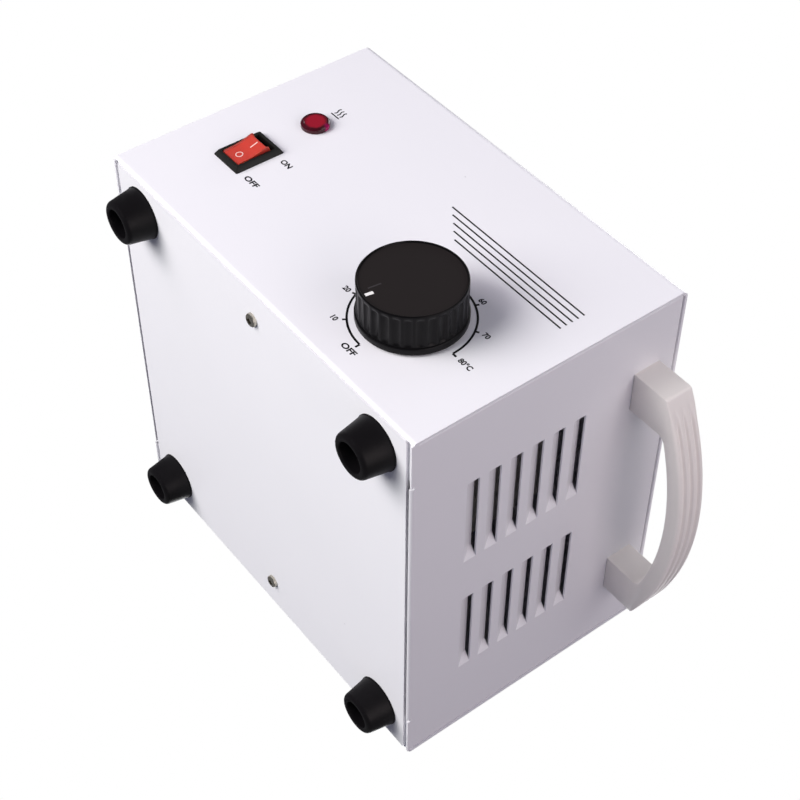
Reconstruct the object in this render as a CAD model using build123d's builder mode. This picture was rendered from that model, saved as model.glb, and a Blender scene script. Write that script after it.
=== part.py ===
from build123d import *
import math
import os

os.makedirs("parts", exist_ok=True)

# A salon wax warmer: a powder-coated sheet-metal box on four rubber feet, with a heated well under
# its top that takes a lift-out wax pot with a lid. Millimetres, +Z up, front towards -Y. The origin
# is on the table, under the middle of the whole outline.

# The case
case_w = 177.0              # width over the side panels
case_d = 172.0              # depth over the front and back
case_h = 116.0              # height of the box without its feet
foot_h = 11.0               # rubber feet, so also the height of the box above the table
sheet = 1.0                 # thickness of the cover and of the base plate
pan_sheet = 0.8             # thickness of the side panels
bend_r = 2.6                # outside radius of the cover's upper bends
low_bend_r = 2.0            # outside radius of the cover's lower bends
cover_lap = 0.6             # the cover's lower bends lap this far in front of the base plate's edge
cover_flange = 19.0         # depth of the cover's in-turned lower flanges
pan_r = 1.2                 # outside radius of a side panel's bends
pan_flange = 12.0           # depth of a side panel's hidden flanges
pan_set = 0.2               # the panel's face lies this far inside the cover's cut edge
lap_gap = 0.1               # clearance between two sheets that lap
base_side_gap = 2.9         # from the case's side plane to the base plate's edge
base_end_gap = 0.95         # from the case's front plane to the base plate's edge
tab_len = 20.2              # flangeless corner tab of a side panel
relief = 1.2                # width of the bend relief notch beside the tab
relief_h = 1.4              # height of that notch above the base plate's underside
corner_r = 0.8              # plan corners of the base plate

# Louvres in the side panels
louvre_rows = 6
louvre_pitch = 9.22
louvre_first = 28.5         # slit of the lowest louvre above the case's bottom
louvre_len = 40.6
louvre_col_pitch = 61.6
louvre_shift = -0.9         # the two columns sit slightly forward of the middle
louvre_h = 5.4
louvre_depth = 2.9
louvre_end = 3.5            # length of the sloping ends
louvre_lip = 0.6            # flat strip of the pressed tongue at the slit
louvre_wrap = 1.6           # metal kept around the pressing

# Rubber feet and their screws
foot_in_x = 18.0            # foot centre from the side plane
foot_in_y = 14.1            # foot centre from the front or back plane
foot_r = 10.0
foot_lip_r = 10.25
foot_lip_h = 0.6
foot_tip_r = 8.3
foot_round = 1.8
foot_bore_r = 5.6
foot_web = 3.0              # rubber between the bore's floor and the base plate
m4_r = 1.95
m4_hole_r = 2.1
m4_head_r = 3.9
m4_head_h = 2.4
m4_nut_r = 4.0
m4_nut_h = 3.2
washer_r = 4.6
washer_t = 0.8
m4_over = 1.2               # thread showing past a nut

# Screws that hold the base plate to the cover's flanges
base_screw_x = 0.5
base_screw_front = 13.5     # from the front plane
base_screw_back = 15.2      # from the back plane
base_screw_r = 1.6
base_screw_hole = 1.7
base_screw_head_r = 2.6
base_screw_head_h = 1.6
base_screw_len = 7.0

# Carrying handles
handle_w = 12.0             # width of the strap
handle_drop = 8.5           # upper face below the case's top
handle_half = 58.4          # half of its length
handle_foot = 17.3          # length of each block foot
handle_side = 15.6          # where the outer curve meets the foot's end
handle_reach = 30.4         # outside of the strap from the side panel
handle_t = 6.3              # thickness of the strap
handle_round = 3.5          # inner fillet between foot and strap
handle_end_r = 1.6          # rounding of the outer ends
groove_r = 0.95
groove_step = 3.3
handle_bore = 11.0          # depth of the screw hole in each foot
handle_plate_t = 1.2        # load washer under each screw head

# Control knob and its dial
knob_x = 43.2
knob_up = 34.9              # knob centre above the case's bottom
knob_reach = 17.0           # top of the knob from the front panel
knob_gap = 0.8
knob_r = 18.5
knob_base_r = 19.1
knob_band = 2.6             # plain band at the foot of the knob
knob_rim_w = 1.3
knob_dish = 0.45            # the disc lies this far below its rim
knob_flutes = 30
knob_flute_r = 2.6
knob_flute_in = 0.5         # depth of each flute
knob_cap_t = 3.0
knob_wall = 2.0
knob_hub_r = 6.0
pointer_deg = 8.6           # the pointer stands this far clockwise of the OFF mark
pointer_w = 1.3
pointer_len = 3.6
pointer_t = 0.35

# Thermostat
shaft_r = 3.0
shaft_flat = 0.8            # depth of the flat on the shaft
shaft_clear = 0.05
shaft_grip = 11.5           # length of the shaft inside the knob
stat_w = 36.0
stat_h = 36.0
stat_depth = 20.0
stat_neck_r = 4.8
stat_neck_clear = 0.3
stat_screw_off = 12.0       # the two fixing screws stand this far above and below the shaft
stat_screw_r = 1.45
stat_screw_hole = 1.6
stat_screw_head_r = 2.8
stat_screw_head_h = 1.9     # low enough to pass inside the hollow knob
stat_tab_off = 7.0
tab_w = 4.8
tab_t = 0.8
tab_len_free = 8.0

# Rocker switch
switch_x = -60.65
switch_up = 40.3            # switch centre above the case's bottom
bezel_w = 15.0
bezel_l = 20.6
bezel_t = 2.0
bezel_slope = 1.1
window_w = 10.6
window_l = 16.2
rocker_side_gap = 0.3
rocker_half = 6.3
rocker_top = 2.4            # height of the rocker's ends over the panel in its middle position
rocker_dip = 0.7            # hollow between its two ends
rocker_flare = 0.6
rocker_depth = 7.4
rocker_pivot = 5.0          # pivot behind the panel
rocker_tilt = 10.0          # tilt each way
rocker_pin_r = 1.2
rocker_pin_len = 0.9
rocker_pin_clear = 0.1
switch_body_w = 12.9
switch_body_l = 18.9
switch_body_d = 17.0
switch_cut_gap = 0.15
switch_floor = 3.0

# Indicator lamp
lamp_x = -59.6
lamp_up = 69.1              # lamp centre above the case's bottom
lamp_r = 5.5
lamp_h = 2.3
lamp_chamfer = 0.9
lamp_body_r = 4.6
lamp_body_len = 20.0
lamp_cut_gap = 0.2
lamp_nut_r = 7.0
lamp_nut_t = 0.6

# Heated well and pot
well_r = 54.5               # inside radius of the well
well_wall = 1.0
well_depth = 85.0
well_rim_t = 1.0
well_rim_edge = 2.2         # rim left outside the rivets
top_hole_gap = 0.8
rivet_gap = 0.6             # from the pot's rim to the rivet heads
rivet_r = 1.2
rivet_head_r = 1.7
rivet_head_h = 0.7
pot_clear = 1.0             # pot to well, all round
pot_wall = 1.5
pot_rim_w = 8.0             # the rim reaches this far past the pot's wall
pot_rim_t = 1.5
pot_lift_gap = 0.8          # pot's bottom over the well's floor
ear_t = 1.6
ear_h = 5.6
ear_len = 6.0
bail_wire = 1.5             # radius of the bail's wire
bail_pin_clear = 0.15
bail_seat = 0.3
bail_end_gap = 0.3
lid_lip = 1.4               # the lid reaches this far past its locating ring
lid_rise = 7.0
lid_edge_h = 3.0
lid_t = 1.2
lid_seat = 0.2
lid_ring_gap = 0.6          # locating ring inside the pot's mouth
lid_ring_t = 1.0
lid_ring_h = 1.4            # it ends inside the pot's rim
lid_knob_r = 12.0
lid_knob_h = 17.0
lid_knob_neck = 5.5
lid_screw_r = 1.95
lid_screw_len = 11.0
lid_screw_head_r = 3.8
lid_screw_head_h = 2.0

# Heating band, lagging and what is clipped under the well
band_gap = 0.1
band_t = 1.9
band_low = 5.0              # band's lower edge above the well's underside
band_h = 42.0
band_split = 9.0
lug_out = 9.0
lug_t = 1.5
lug_h = 14.0
lug_screw_r = 1.5
lag_gap = 0.4
lag_t = 4.0
lag_h = 54.0
lag_under = 2.0             # the lagging starts this far under the band
lag_open = 36.0             # half angle of its opening at the back
band_tab_deg = 15.0
cutout_x = -16.0
cutout_r = 8.0
cutout_h = 7.0
cutout_tab = 6.0
bulb_x = 14.0
bulb_r = 3.3
bulb_len = 50.0
clip_half_l = -30.0
clip_half_r = 23.0
clip_w = 12.0
clip_t = 0.8
touch = 0.1                 # clearance where one inner piece rests on another
capillary_r = 0.6
capillary_x = 50.0

# Mains inlet, terminal block, earth stud and leads
inlet_x = -52.0
inlet_up = 32.0
inlet_flange_w = 50.0
inlet_flange_h = 23.0
inlet_flange_t = 2.5
inlet_body_w = 27.0
inlet_body_h = 19.6
inlet_body_d = 21.0
inlet_socket_w = 24.0
inlet_socket_h = 16.0
inlet_socket_d = 15.0
inlet_hole_pitch = 40.0
inlet_cut_gap = 0.3
inlet_pin_w = 2.0
inlet_pin_l = 4.0
inlet_pin_off = 7.0
inlet_pin_up = 1.5
inlet_screw_r = 1.45
inlet_screw_hole = 1.6
inlet_screw_head = 2.9
inlet_screw_len = 8.0
block_x = -38.0
block_w = 22.0
block_l = 28.0
block_h = 14.0
block_mid = 12.75           # block centre behind the case's middle
block_way = 5.0
switch_way = 5.0            # the switch's tabs stand this far above and below its middle
earth_in = 16.5             # earth stud from the side plane
earth_back = 47.25          # earth stud from the back plane
earth_len = 9.0
ring_r = 4.4
ring_t = 0.8
ring_crimp = 4.8            # length of the ring's crimp
lead_r = 0.9                # limp silicone-covered leads
run_in = 22.5               # the live lead's run from the side plane
run_high = 27.0             # heights of the leads' runs above the case's bottom
run_mid = 13.0
run_under = 11.0
run_low = 9.0
run_floor = 7.0
lamp_run_high = 51.0
lead_out = 16.0             # straight runs from a terminal

# Reach in front and behind sets the origin under the middle of the whole outline
mid_y = (knob_reach - inlet_flange_t) / 2
front_y = mid_y - case_d / 2
back_y = mid_y + case_d / 2
base_z = foot_h
top_z = base_z + case_h
plate_top = base_z + sheet
cover_low = plate_top + lap_gap / 2
flange_top = cover_low + sheet
side_x = case_w / 2
pan_x = side_x - pan_set
tab_in = pan_x - pan_sheet - 3 * lap_gap
skin_y = front_y + sheet
knob_z = base_z + knob_up
switch_z = base_z + switch_up
lamp_z = base_z + lamp_up
inlet_z = base_z + inlet_up
well_out = well_r + well_wall
pot_r = well_r - pot_clear
pot_rim_r = pot_r + pot_rim_w
rivet_at = pot_rim_r + rivet_gap + rivet_head_r
well_rim_r = rivet_at + well_rim_edge
earth_x = earth_in - side_x
well_rim_top = top_z + well_rim_t
well_low = well_rim_top - well_depth - well_wall
pot_low = well_rim_top - well_depth + pot_lift_gap
pot_top = well_rim_top + pot_rim_t
foot_spots = []
for sx in (-1, 1):
    for sy in (-1, 1):
        foot_spots.append((sx * (side_x - foot_in_x), mid_y + sy * (case_d / 2 - foot_in_y)))
base_screw_spots = [
    (base_screw_x, front_y + base_screw_front),
    (base_screw_x, back_y - base_screw_back),
]
handle_screw_y = handle_half - handle_foot / 2
handle_low = case_h - handle_drop - handle_w
handle_mid_z = base_z + handle_low + handle_w / 2


def save(part, name):
    """Labels a finished piece and writes it under its own name."""
    part.label = name
    export_step(part, "parts/" + name + ".step")


# Cover: one sheet folded over the front, top and back, with in-turned flanges at the bottom. It has
# the round opening for the well, the control cut-outs in front and the inlet cut-out behind.
with BuildPart() as cover:
    with BuildSketch(Plane.YZ.offset(-side_x)) as cover_outside:
        with Locations((mid_y, (base_z + top_z) / 2)):
            Rectangle(case_d, top_z - base_z)
        fillet(cover_outside.vertices().group_by(Axis.Y)[-1], bend_r)
        fillet(cover_outside.vertices().group_by(Axis.Y)[0], low_bend_r)
    extrude(amount=case_w)
    with BuildSketch(Plane.YZ.offset(-side_x)) as cover_inside:
        with Locations((mid_y, (cover_low + top_z) / 2)):
            Rectangle(case_d - 2 * sheet, top_z - cover_low - 2 * sheet)
        fillet(cover_inside.vertices().group_by(Axis.Y)[-1], bend_r - sheet)
        fillet(cover_inside.vertices().group_by(Axis.Y)[0], low_bend_r - sheet)
    extrude(amount=case_w, mode=Mode.SUBTRACT)
    with BuildSketch(Plane.XY.offset(cover_low)) as cover_mouth:
        with Locations((0, mid_y)):
            Rectangle(case_w, case_d - 2 * cover_flange)
    extrude(amount=2 * sheet, mode=Mode.SUBTRACT)
    # the flanges are set up by the base plate's thickness, so that its edges lie behind the bends
    with BuildSketch(Plane.XY.offset(base_z)) as plate_seat:
        with Locations((0, mid_y)):
            Rectangle(case_w, case_d - 2 * cover_lap)
    extrude(amount=cover_low - base_z, mode=Mode.SUBTRACT)
    # the flanges stop short of the side panels
    with BuildSketch(Plane.XY.offset(cover_low - sheet)) as cover_corners:
        with Locations((-side_x, mid_y), (side_x, mid_y)):
            Rectangle(2 * (side_x - tab_in), case_d - 2 * (sheet + lap_gap))
    extrude(amount=2 * sheet + low_bend_r, mode=Mode.SUBTRACT)
    with BuildSketch(Plane.XY.offset(cover_low - sheet)) as cover_flange_holes:
        with Locations(*foot_spots):
            Circle(m4_hole_r)
        with Locations(*base_screw_spots):
            Circle(base_screw_hole)
    extrude(amount=3 * sheet, mode=Mode.SUBTRACT)
    with BuildSketch(Plane.XY.offset(top_z - 2 * sheet)) as cover_top_holes:
        with Locations((0, mid_y)):
            Circle(well_out + top_hole_gap)
            with PolarLocations(rivet_at, 4, start_angle=45):
                Circle(rivet_r + lap_gap)
    extrude(amount=3 * sheet, mode=Mode.SUBTRACT)
    with BuildSketch(Plane.XZ.offset(-front_y - 2 * sheet)) as cover_front_holes:
        with Locations((knob_x, knob_z)):
            Circle(stat_neck_r + stat_neck_clear)
        with Locations((knob_x, knob_z + stat_screw_off), (knob_x, knob_z - stat_screw_off)):
            Circle(stat_screw_hole)
        with Locations((switch_x, switch_z)):
            Rectangle(switch_body_w + 2 * switch_cut_gap, switch_body_l + 2 * switch_cut_gap)
        with Locations((lamp_x, lamp_z)):
            Circle(lamp_body_r + lamp_cut_gap)
    extrude(amount=3 * sheet, mode=Mode.SUBTRACT)
    with BuildSketch(Plane.XZ.offset(-back_y - sheet)) as cover_back_holes:
        with Locations((inlet_x, inlet_z)):
            Rectangle(inlet_body_w + 2 * inlet_cut_gap, inlet_body_h + 2 * inlet_cut_gap)
        with Locations((inlet_x - inlet_hole_pitch / 2, inlet_z), (inlet_x + inlet_hole_pitch / 2, inlet_z)):
            Circle(inlet_screw_hole)
    extrude(amount=3 * sheet, mode=Mode.SUBTRACT)
save(cover.part, "cover")

# Base plate: flat sheet screwed up against the cover's flanges; the feet hang under it.
with BuildPart() as base_plate:
    with BuildSketch(Plane.XY.offset(base_z)) as base_outline:
        with Locations((0, mid_y)):
            Rectangle(case_w - 2 * base_side_gap, case_d - 2 * base_end_gap)
        fillet(base_outline.vertices(), corner_r)
        with Locations(*foot_spots):
            Circle(m4_hole_r, mode=Mode.SUBTRACT)
        with Locations(*base_screw_spots):
            Circle(base_screw_hole + lap_gap, mode=Mode.SUBTRACT)
    extrude(amount=sheet)
save(base_plate.part, "base_plate")


def side_panel(side):
    """A shallow pan of sheet: face, flanges on all four sides, corner tabs and pressed louvres."""
    low = base_z
    high = top_z - sheet - lap_gap
    deep = case_d - 2 * (sheet + lap_gap)
    inner = 2 * pan_sheet
    with BuildPart() as pan:
        with BuildSketch(Plane.YZ.offset(pan_x - pan_flange)) as outline:
            with Locations((mid_y, (low + high) / 2)):
                Rectangle(deep, high - low)
            fillet(outline.vertices().group_by(Axis.Y)[-1], pan_r)
        extrude(amount=pan_flange)
        fillet(pan.faces().sort_by(Axis.X)[-1].edges(), pan_r)
        with BuildSketch(Plane.YZ.offset(pan_x - pan_sheet)) as hollow:
            with Locations((mid_y, (low + high) / 2)):
                Rectangle(deep - inner, high - low - inner)
            fillet(hollow.vertices(), pan_r - pan_sheet)
        extrude(amount=-pan_flange, mode=Mode.SUBTRACT)
        # below, only the bend is left of the flange, and it stops at the two relief notches
        with BuildSketch(Plane.XY.offset(low - sheet)) as flange_trim:
            with Locations((pan_x - pan_r - pan_flange / 2, mid_y)):
                Rectangle(pan_flange, deep)
            with Locations((pan_x - side_x / 2, front_y + (tab_len + relief) / 2)):
                Rectangle(side_x, tab_len + relief)
            with Locations((pan_x - side_x / 2, back_y - (tab_len + relief) / 2)):
                Rectangle(side_x, tab_len + relief)
        extrude(amount=sheet + relief_h, mode=Mode.SUBTRACT)
        # in the corners the side flanges stop above the cover's flanges
        with BuildSketch(Plane.XY.offset(low)) as corner_trim:
            with Locations(((pan_x - pan_flange + tab_in + lap_gap) / 2, front_y + tab_len / 2),
                           ((pan_x - pan_flange + tab_in + lap_gap) / 2, back_y - tab_len / 2)):
                Rectangle(tab_in + lap_gap - pan_x + pan_flange, tab_len)
        extrude(amount=flange_top + low_bend_r - low, mode=Mode.SUBTRACT)
        # the corner tabs run straight down to the same level
        with BuildSketch(Plane.YZ.offset(pan_x - pan_sheet)) as tabs:
            for sy in (-1, 1):
                with Locations((mid_y + sy * (deep / 2 - (tab_len - sheet) / 2), low + relief_h)):
                    Rectangle(tab_len - sheet, 2 * relief_h)
        extrude(amount=pan_sheet)
        # screw holes for the handle
        with BuildSketch(Plane.YZ.offset(pan_x - inner)) as handle_holes:
            with Locations((mid_y - handle_screw_y, handle_mid_z), (mid_y + handle_screw_y, handle_mid_z)):
                Circle(m4_hole_r)
        extrude(amount=2 * inner, mode=Mode.SUBTRACT)
        # louvres: the sheet is cut along the upper edge and pressed inward below it
        run = louvre_end / louvre_depth
        rise = (louvre_h - louvre_lip) / louvre_depth
        spots = []
        for col in (-1, 1):
            for row in range(louvre_rows):
                spots.append((mid_y + louvre_shift + col * louvre_col_pitch / 2,
                              base_z + louvre_first + row * louvre_pitch))
        thick = louvre_depth + pan_sheet
        for y, z in spots:
            with Locations(Location((pan_x - pan_sheet / 2, y, z - louvre_h - louvre_wrap), (0, 0, 90))):
                Wedge(louvre_len + 2 * louvre_wrap, thick - pan_sheet / 2, louvre_h + louvre_wrap,
                      run * thick, rise * thick, louvre_len + 2 * louvre_wrap - run * thick,
                      louvre_h + louvre_wrap, align=(Align.CENTER, Align.MIN, Align.MIN))
        for y, z in spots:
            with Locations(Location((pan_x, y, z - louvre_h), (0, 0, 90))):
                Wedge(louvre_len, louvre_depth, louvre_h, louvre_end, louvre_h - louvre_lip,
                      louvre_len - louvre_end, louvre_h, align=(Align.CENTER, Align.MIN, Align.MIN),
                      mode=Mode.SUBTRACT)
    if side > 0:
        return pan.part
    return mirror(pan.part, about=Plane.YZ)


save(side_panel(1), "side_panel_right")
save(side_panel(-1), "side_panel_left")

# Rubber feet: tapered bumpers, wide end against the base plate, with a deep bore for the screw head.
foot_names = ("foot_left_front", "foot_left_back", "foot_right_front", "foot_right_back")
for name, spot in zip(foot_names, foot_spots):
    with BuildPart() as foot:
        with BuildSketch(Plane.XZ) as foot_half:
            with BuildLine():
                Polyline(
                    (m4_hole_r, foot_h - foot_web),
                    (foot_bore_r, foot_h - foot_web),
                    (foot_bore_r, 0),
                    (foot_tip_r, 0),
                    (foot_r, foot_h - foot_lip_h),
                    (foot_lip_r, foot_h - foot_lip_h / 2),
                    (foot_lip_r, foot_h),
                    (m4_hole_r, foot_h),
                    close=True,
                )
            make_face()
            fillet(foot_half.vertices().group_by(Axis.Y)[0].sort_by(Axis.X)[-1], foot_round)
            fillet(foot_half.vertices().group_by(Axis.Y)[0].sort_by(Axis.X)[0], foot_round / 3)
        revolve(axis=Axis.Z)
    save(Pos(spot[0], spot[1], 0) * foot.part, name)

# Foot screws, their washers in the bores, and the nuts on the cover's flanges.
head_z = foot_h - foot_web - washer_t
nut_z = flange_top + touch / 2
with BuildPart() as foot_screws:
    for spot in foot_spots:
        with BuildSketch(Plane.XY.offset(head_z - m4_head_h)):
            with Locations(spot):
                Circle(m4_head_r)
        extrude(amount=m4_head_h)
        with BuildSketch(Plane.XY.offset(head_z)):
            with Locations(spot):
                Circle(m4_r)
        extrude(amount=nut_z + m4_nut_h + m4_over - head_z)
        with BuildSketch(Plane.XY.offset(head_z - m4_head_h)):
            with Locations(spot):
                Rectangle(m4_head_r, sheet)
                Rectangle(sheet, m4_head_r)
        extrude(amount=m4_head_h / 2, mode=Mode.SUBTRACT)
    head_rims = foot_screws.edges().filter_by(GeomType.CIRCLE).group_by(Axis.Z)[0]
    fillet(head_rims, m4_head_h / 3)
save(foot_screws.part, "foot_screws")

with BuildPart() as foot_washers:
    with BuildSketch(Plane.XY.offset(head_z)):
        with Locations(*foot_spots):
            Circle(washer_r)
            Circle(m4_hole_r, mode=Mode.SUBTRACT)
    extrude(amount=washer_t)
save(foot_washers.part, "foot_washers")

with BuildPart() as foot_nuts:
    with BuildSketch(Plane.XY.offset(nut_z)):
        with Locations(*foot_spots):
            RegularPolygon(m4_nut_r, 6)
            Circle(m4_hole_r - lap_gap, mode=Mode.SUBTRACT)
    extrude(amount=m4_nut_h)
save(foot_nuts.part, "foot_nuts")

# Two pan-head screws through the base plate into the cover's flanges.
with BuildPart() as base_screws:
    for spot in base_screw_spots:
        with BuildSketch(Plane.XY.offset(base_z - base_screw_head_h)):
            with Locations(spot):
                Circle(base_screw_head_r)
        extrude(amount=base_screw_head_h)
        with BuildSketch(Plane.XY.offset(base_z)):
            with Locations(spot):
                Circle(base_screw_r)
        extrude(amount=base_screw_len)
    fillet(base_screws.edges().filter_by(GeomType.CIRCLE).group_by(Axis.Z)[0], base_screw_head_h / 2)
    with BuildSketch(Plane.XY.offset(base_z - base_screw_head_h)):
        with Locations(*base_screw_spots):
            Rectangle(base_screw_head_r, sheet)
            Rectangle(sheet, base_screw_head_r)
    extrude(amount=base_screw_head_h / 2, mode=Mode.SUBTRACT)
save(base_screws.part, "base_screws")


def handle(side):
    """An arched strap with three grooves outside, on two block feet against the side panel."""
    sagitta = handle_reach - handle_side
    arc_r = (handle_half ** 2 + sagitta ** 2) / (2 * sagitta)
    arc_x = pan_x + handle_reach - arc_r
    inner_half = handle_half - handle_foot
    inner_r = arc_r - handle_t
    inner_x = arc_x + math.sqrt(inner_r ** 2 - inner_half ** 2)
    with BuildPart() as grip:
        with BuildSketch(Plane.XY.offset(base_z + handle_low)) as plan:
            with BuildLine():
                Line((pan_x, mid_y - handle_half), (pan_x + handle_side, mid_y - handle_half))
                ThreePointArc((pan_x + handle_side, mid_y - handle_half), (pan_x + handle_reach, mid_y),
                              (pan_x + handle_side, mid_y + handle_half))
                Polyline((pan_x + handle_side, mid_y + handle_half), (pan_x, mid_y + handle_half),
                         (pan_x, mid_y + inner_half), (inner_x, mid_y + inner_half))
                ThreePointArc((inner_x, mid_y + inner_half), (arc_x + inner_r, mid_y),
                              (inner_x, mid_y - inner_half))
                Polyline((inner_x, mid_y - inner_half), (pan_x, mid_y - inner_half),
                         (pan_x, mid_y - handle_half))
            make_face()
        extrude(amount=handle_w)
        inner_edges = grip.edges().filter_by(Axis.Z).group_by(Axis.X)[-1]
        fillet(inner_edges, handle_round)
        outer_edges = grip.edges().filter_by(Axis.Z).filter_by(
            lambda e: abs(e.center().X - pan_x - handle_side) < touch)
        fillet(outer_edges, handle_end_r)
        rims = grip.faces().filter_by(Axis.Z).edges().filter_by(GeomType.CIRCLE).filter_by(
            lambda e: abs(e.radius - arc_r) < touch)
        chamfer(rims, sheet)
        with Locations(*[(arc_x, mid_y, handle_mid_z + k * groove_step) for k in (-1, 0, 1)]):
            Torus(arc_r, groove_r, mode=Mode.SUBTRACT)
        with BuildSketch(Plane.YZ.offset(pan_x)) as bores:
            with Locations((mid_y - handle_screw_y, handle_mid_z), (mid_y + handle_screw_y, handle_mid_z)):
                Circle(m4_r + shaft_clear)
        extrude(amount=handle_bore, mode=Mode.SUBTRACT)
    if side > 0:
        return grip.part
    return mirror(grip.part, about=Plane.YZ)


save(handle(1), "handle_right")
save(handle(-1), "handle_left")

# Handle screws from inside the case, each with a load washer against the side panel.
washer_x = pan_x - pan_sheet - touch / 2 - handle_plate_t
with BuildPart() as handle_screws:
    for side in (-1, 1):
        for sy in (-1, 1):
            spot = Plane(origin=(side * washer_x, mid_y + sy * handle_screw_y, handle_mid_z),
                         x_dir=(0, 1, 0), z_dir=(side, 0, 0))
            with BuildSketch(spot):
                Circle(m4_head_r)
            extrude(amount=-m4_head_h)
            with BuildSketch(spot):
                Circle(m4_r)
            extrude(amount=handle_plate_t + pan_sheet + handle_bore - sheet)
save(handle_screws.part, "handle_screws")

with BuildPart() as handle_washers:
    for side in (-1, 1):
        for sy in (-1, 1):
            spot = Plane(origin=(side * washer_x, mid_y + sy * handle_screw_y, handle_mid_z),
                         x_dir=(0, 1, 0), z_dir=(side, 0, 0))
            with BuildSketch(spot):
                Circle(washer_r)
                Circle(m4_hole_r, mode=Mode.SUBTRACT)
            extrude(amount=handle_plate_t)
save(handle_washers.part, "handle_washers")

# Thermostat behind the front panel, with its neck in the panel and two tabs underneath.
stat_back = skin_y + touch / 2 + stat_depth
with BuildPart() as thermostat:
    with BuildSketch(Plane.XZ.offset(-skin_y - touch / 2)) as stat_face:
        with Locations((knob_x, knob_z)):
            RectangleRounded(stat_w, stat_h, 2 * sheet)
    extrude(amount=-stat_depth)
    with BuildSketch(Plane.XZ.offset(-skin_y - touch)) as stat_neck:
        with Locations((knob_x, knob_z)):
            Circle(stat_neck_r)
    extrude(amount=sheet)
    with BuildSketch(Plane.XZ.offset(-front_y)) as stat_bore:
        with Locations((knob_x, knob_z)):
            Circle(shaft_r + 2 * shaft_clear)
    extrude(amount=-stat_depth * 3 / 4, mode=Mode.SUBTRACT)
    with BuildSketch(Plane.XZ.offset(-front_y)) as stat_taps:
        with Locations((knob_x, knob_z + stat_screw_off), (knob_x, knob_z - stat_screw_off)):
            Circle(stat_screw_r + shaft_clear)
    extrude(amount=-stat_depth / 2, mode=Mode.SUBTRACT)
save(thermostat.part, "thermostat_body")

stat_tab_y = skin_y + stat_depth / 2
with BuildPart() as stat_tabs:
    with BuildSketch(Plane.XY.offset(knob_z - stat_h / 2)):
        with Locations((knob_x - stat_tab_off, stat_tab_y), (knob_x + stat_tab_off, stat_tab_y)):
            Rectangle(tab_w, tab_t)
    extrude(amount=-tab_len_free)
save(stat_tabs.part, "thermostat_tabs")

with BuildPart() as stat_screws:
    for sz in (-1, 1):
        with BuildSketch(Plane.XZ.offset(-front_y)):
            with Locations((knob_x, knob_z + sz * stat_screw_off)):
                Circle(stat_screw_head_r)
        extrude(amount=stat_screw_head_h)
        with BuildSketch(Plane.XZ.offset(-front_y)):
            with Locations((knob_x, knob_z + sz * stat_screw_off)):
                Circle(stat_screw_r)
        extrude(amount=-stat_depth / 2 + sheet)
save(stat_screws.part, "thermostat_screws")

# Shaft with a flat, turning in the thermostat and gripped by the knob's hub.
shaft_front = front_y - knob_gap - shaft_grip
shaft_back = front_y + stat_depth * 3 / 4 - touch
with BuildPart() as shaft:
    with BuildSketch(Plane.XZ.offset(-shaft_back)):
        with Locations((knob_x, knob_z)):
            Circle(shaft_r)
    extrude(amount=shaft_back - shaft_front)
    with BuildSketch(Plane.XZ.offset(-front_y + knob_gap)):
        with Locations((knob_x, knob_z + shaft_r)):
            Rectangle(2 * shaft_r, 2 * shaft_flat)
    extrude(amount=shaft_grip, mode=Mode.SUBTRACT)
save(shaft.part, "thermostat_shaft")

# Knob: a hollow moulding with shallow flutes above a plain band, a flat disc with a thin raised rim
# and a hub with a D-shaped bore.
knob_back = front_y - knob_gap
knob_top = front_y - knob_reach
with BuildPart() as knob:
    with BuildSketch(Plane.XZ.offset(-knob_back)):
        with Locations((knob_x, knob_z)):
            Circle(knob_r)
    extrude(amount=knob_reach - knob_gap)
    with BuildSketch(Plane.XZ.offset(-knob_back + knob_band)):
        with Locations((knob_x, knob_z)):
            with PolarLocations(knob_r + knob_flute_r - knob_flute_in, knob_flutes):
                Circle(knob_flute_r)
    extrude(amount=knob_reach - knob_gap - knob_band - knob_rim_w, mode=Mode.SUBTRACT)
    with BuildSketch(Plane.XZ.offset(-knob_back)):
        with Locations((knob_x, knob_z)):
            Circle(knob_base_r)
    extrude(amount=knob_band)
    with BuildSketch(Plane.XZ.offset(-knob_top + knob_dish)):
        with Locations((knob_x, knob_z)):
            Circle(knob_r - knob_rim_w)
    extrude(amount=-2 * knob_dish, mode=Mode.SUBTRACT)
    with BuildSketch(Plane.XZ.offset(-knob_back)):
        with Locations((knob_x, knob_z)):
            Circle(knob_r - knob_wall)
            Circle(knob_hub_r, mode=Mode.SUBTRACT)
    extrude(amount=knob_reach - knob_gap - knob_cap_t, mode=Mode.SUBTRACT)
    with BuildSketch(Plane.XZ.offset(-knob_back)) as hub_bore:
        with Locations((knob_x, knob_z)):
            Circle(shaft_r + shaft_clear)
        with Locations((knob_x, knob_z + 2 * shaft_r - shaft_flat + shaft_clear)):
            Rectangle(4 * shaft_r, 2 * shaft_r, mode=Mode.SUBTRACT)
    extrude(amount=shaft_grip + touch, mode=Mode.SUBTRACT)
    pointer_turn = math.radians(270 - pointer_deg)
    pointer_mid = knob_r - knob_rim_w - pointer_len / 2
    pointer_plane = Plane(
        origin=(knob_x + pointer_mid * math.cos(pointer_turn), knob_top + knob_dish,
                knob_z + pointer_mid * math.sin(pointer_turn)),
        x_dir=(math.cos(pointer_turn), 0, math.sin(pointer_turn)), z_dir=(0, -1, 0))
    with BuildSketch(pointer_plane):
        Rectangle(pointer_len + 2 * shaft_clear, pointer_w + 2 * shaft_clear)
    extrude(amount=-pointer_t - shaft_clear, mode=Mode.SUBTRACT)
save(knob.part, "knob")

with BuildPart() as pointer:
    with BuildSketch(pointer_plane):
        Rectangle(pointer_len, pointer_w)
    extrude(amount=-pointer_t)
save(pointer.part, "knob_pointer")

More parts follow.
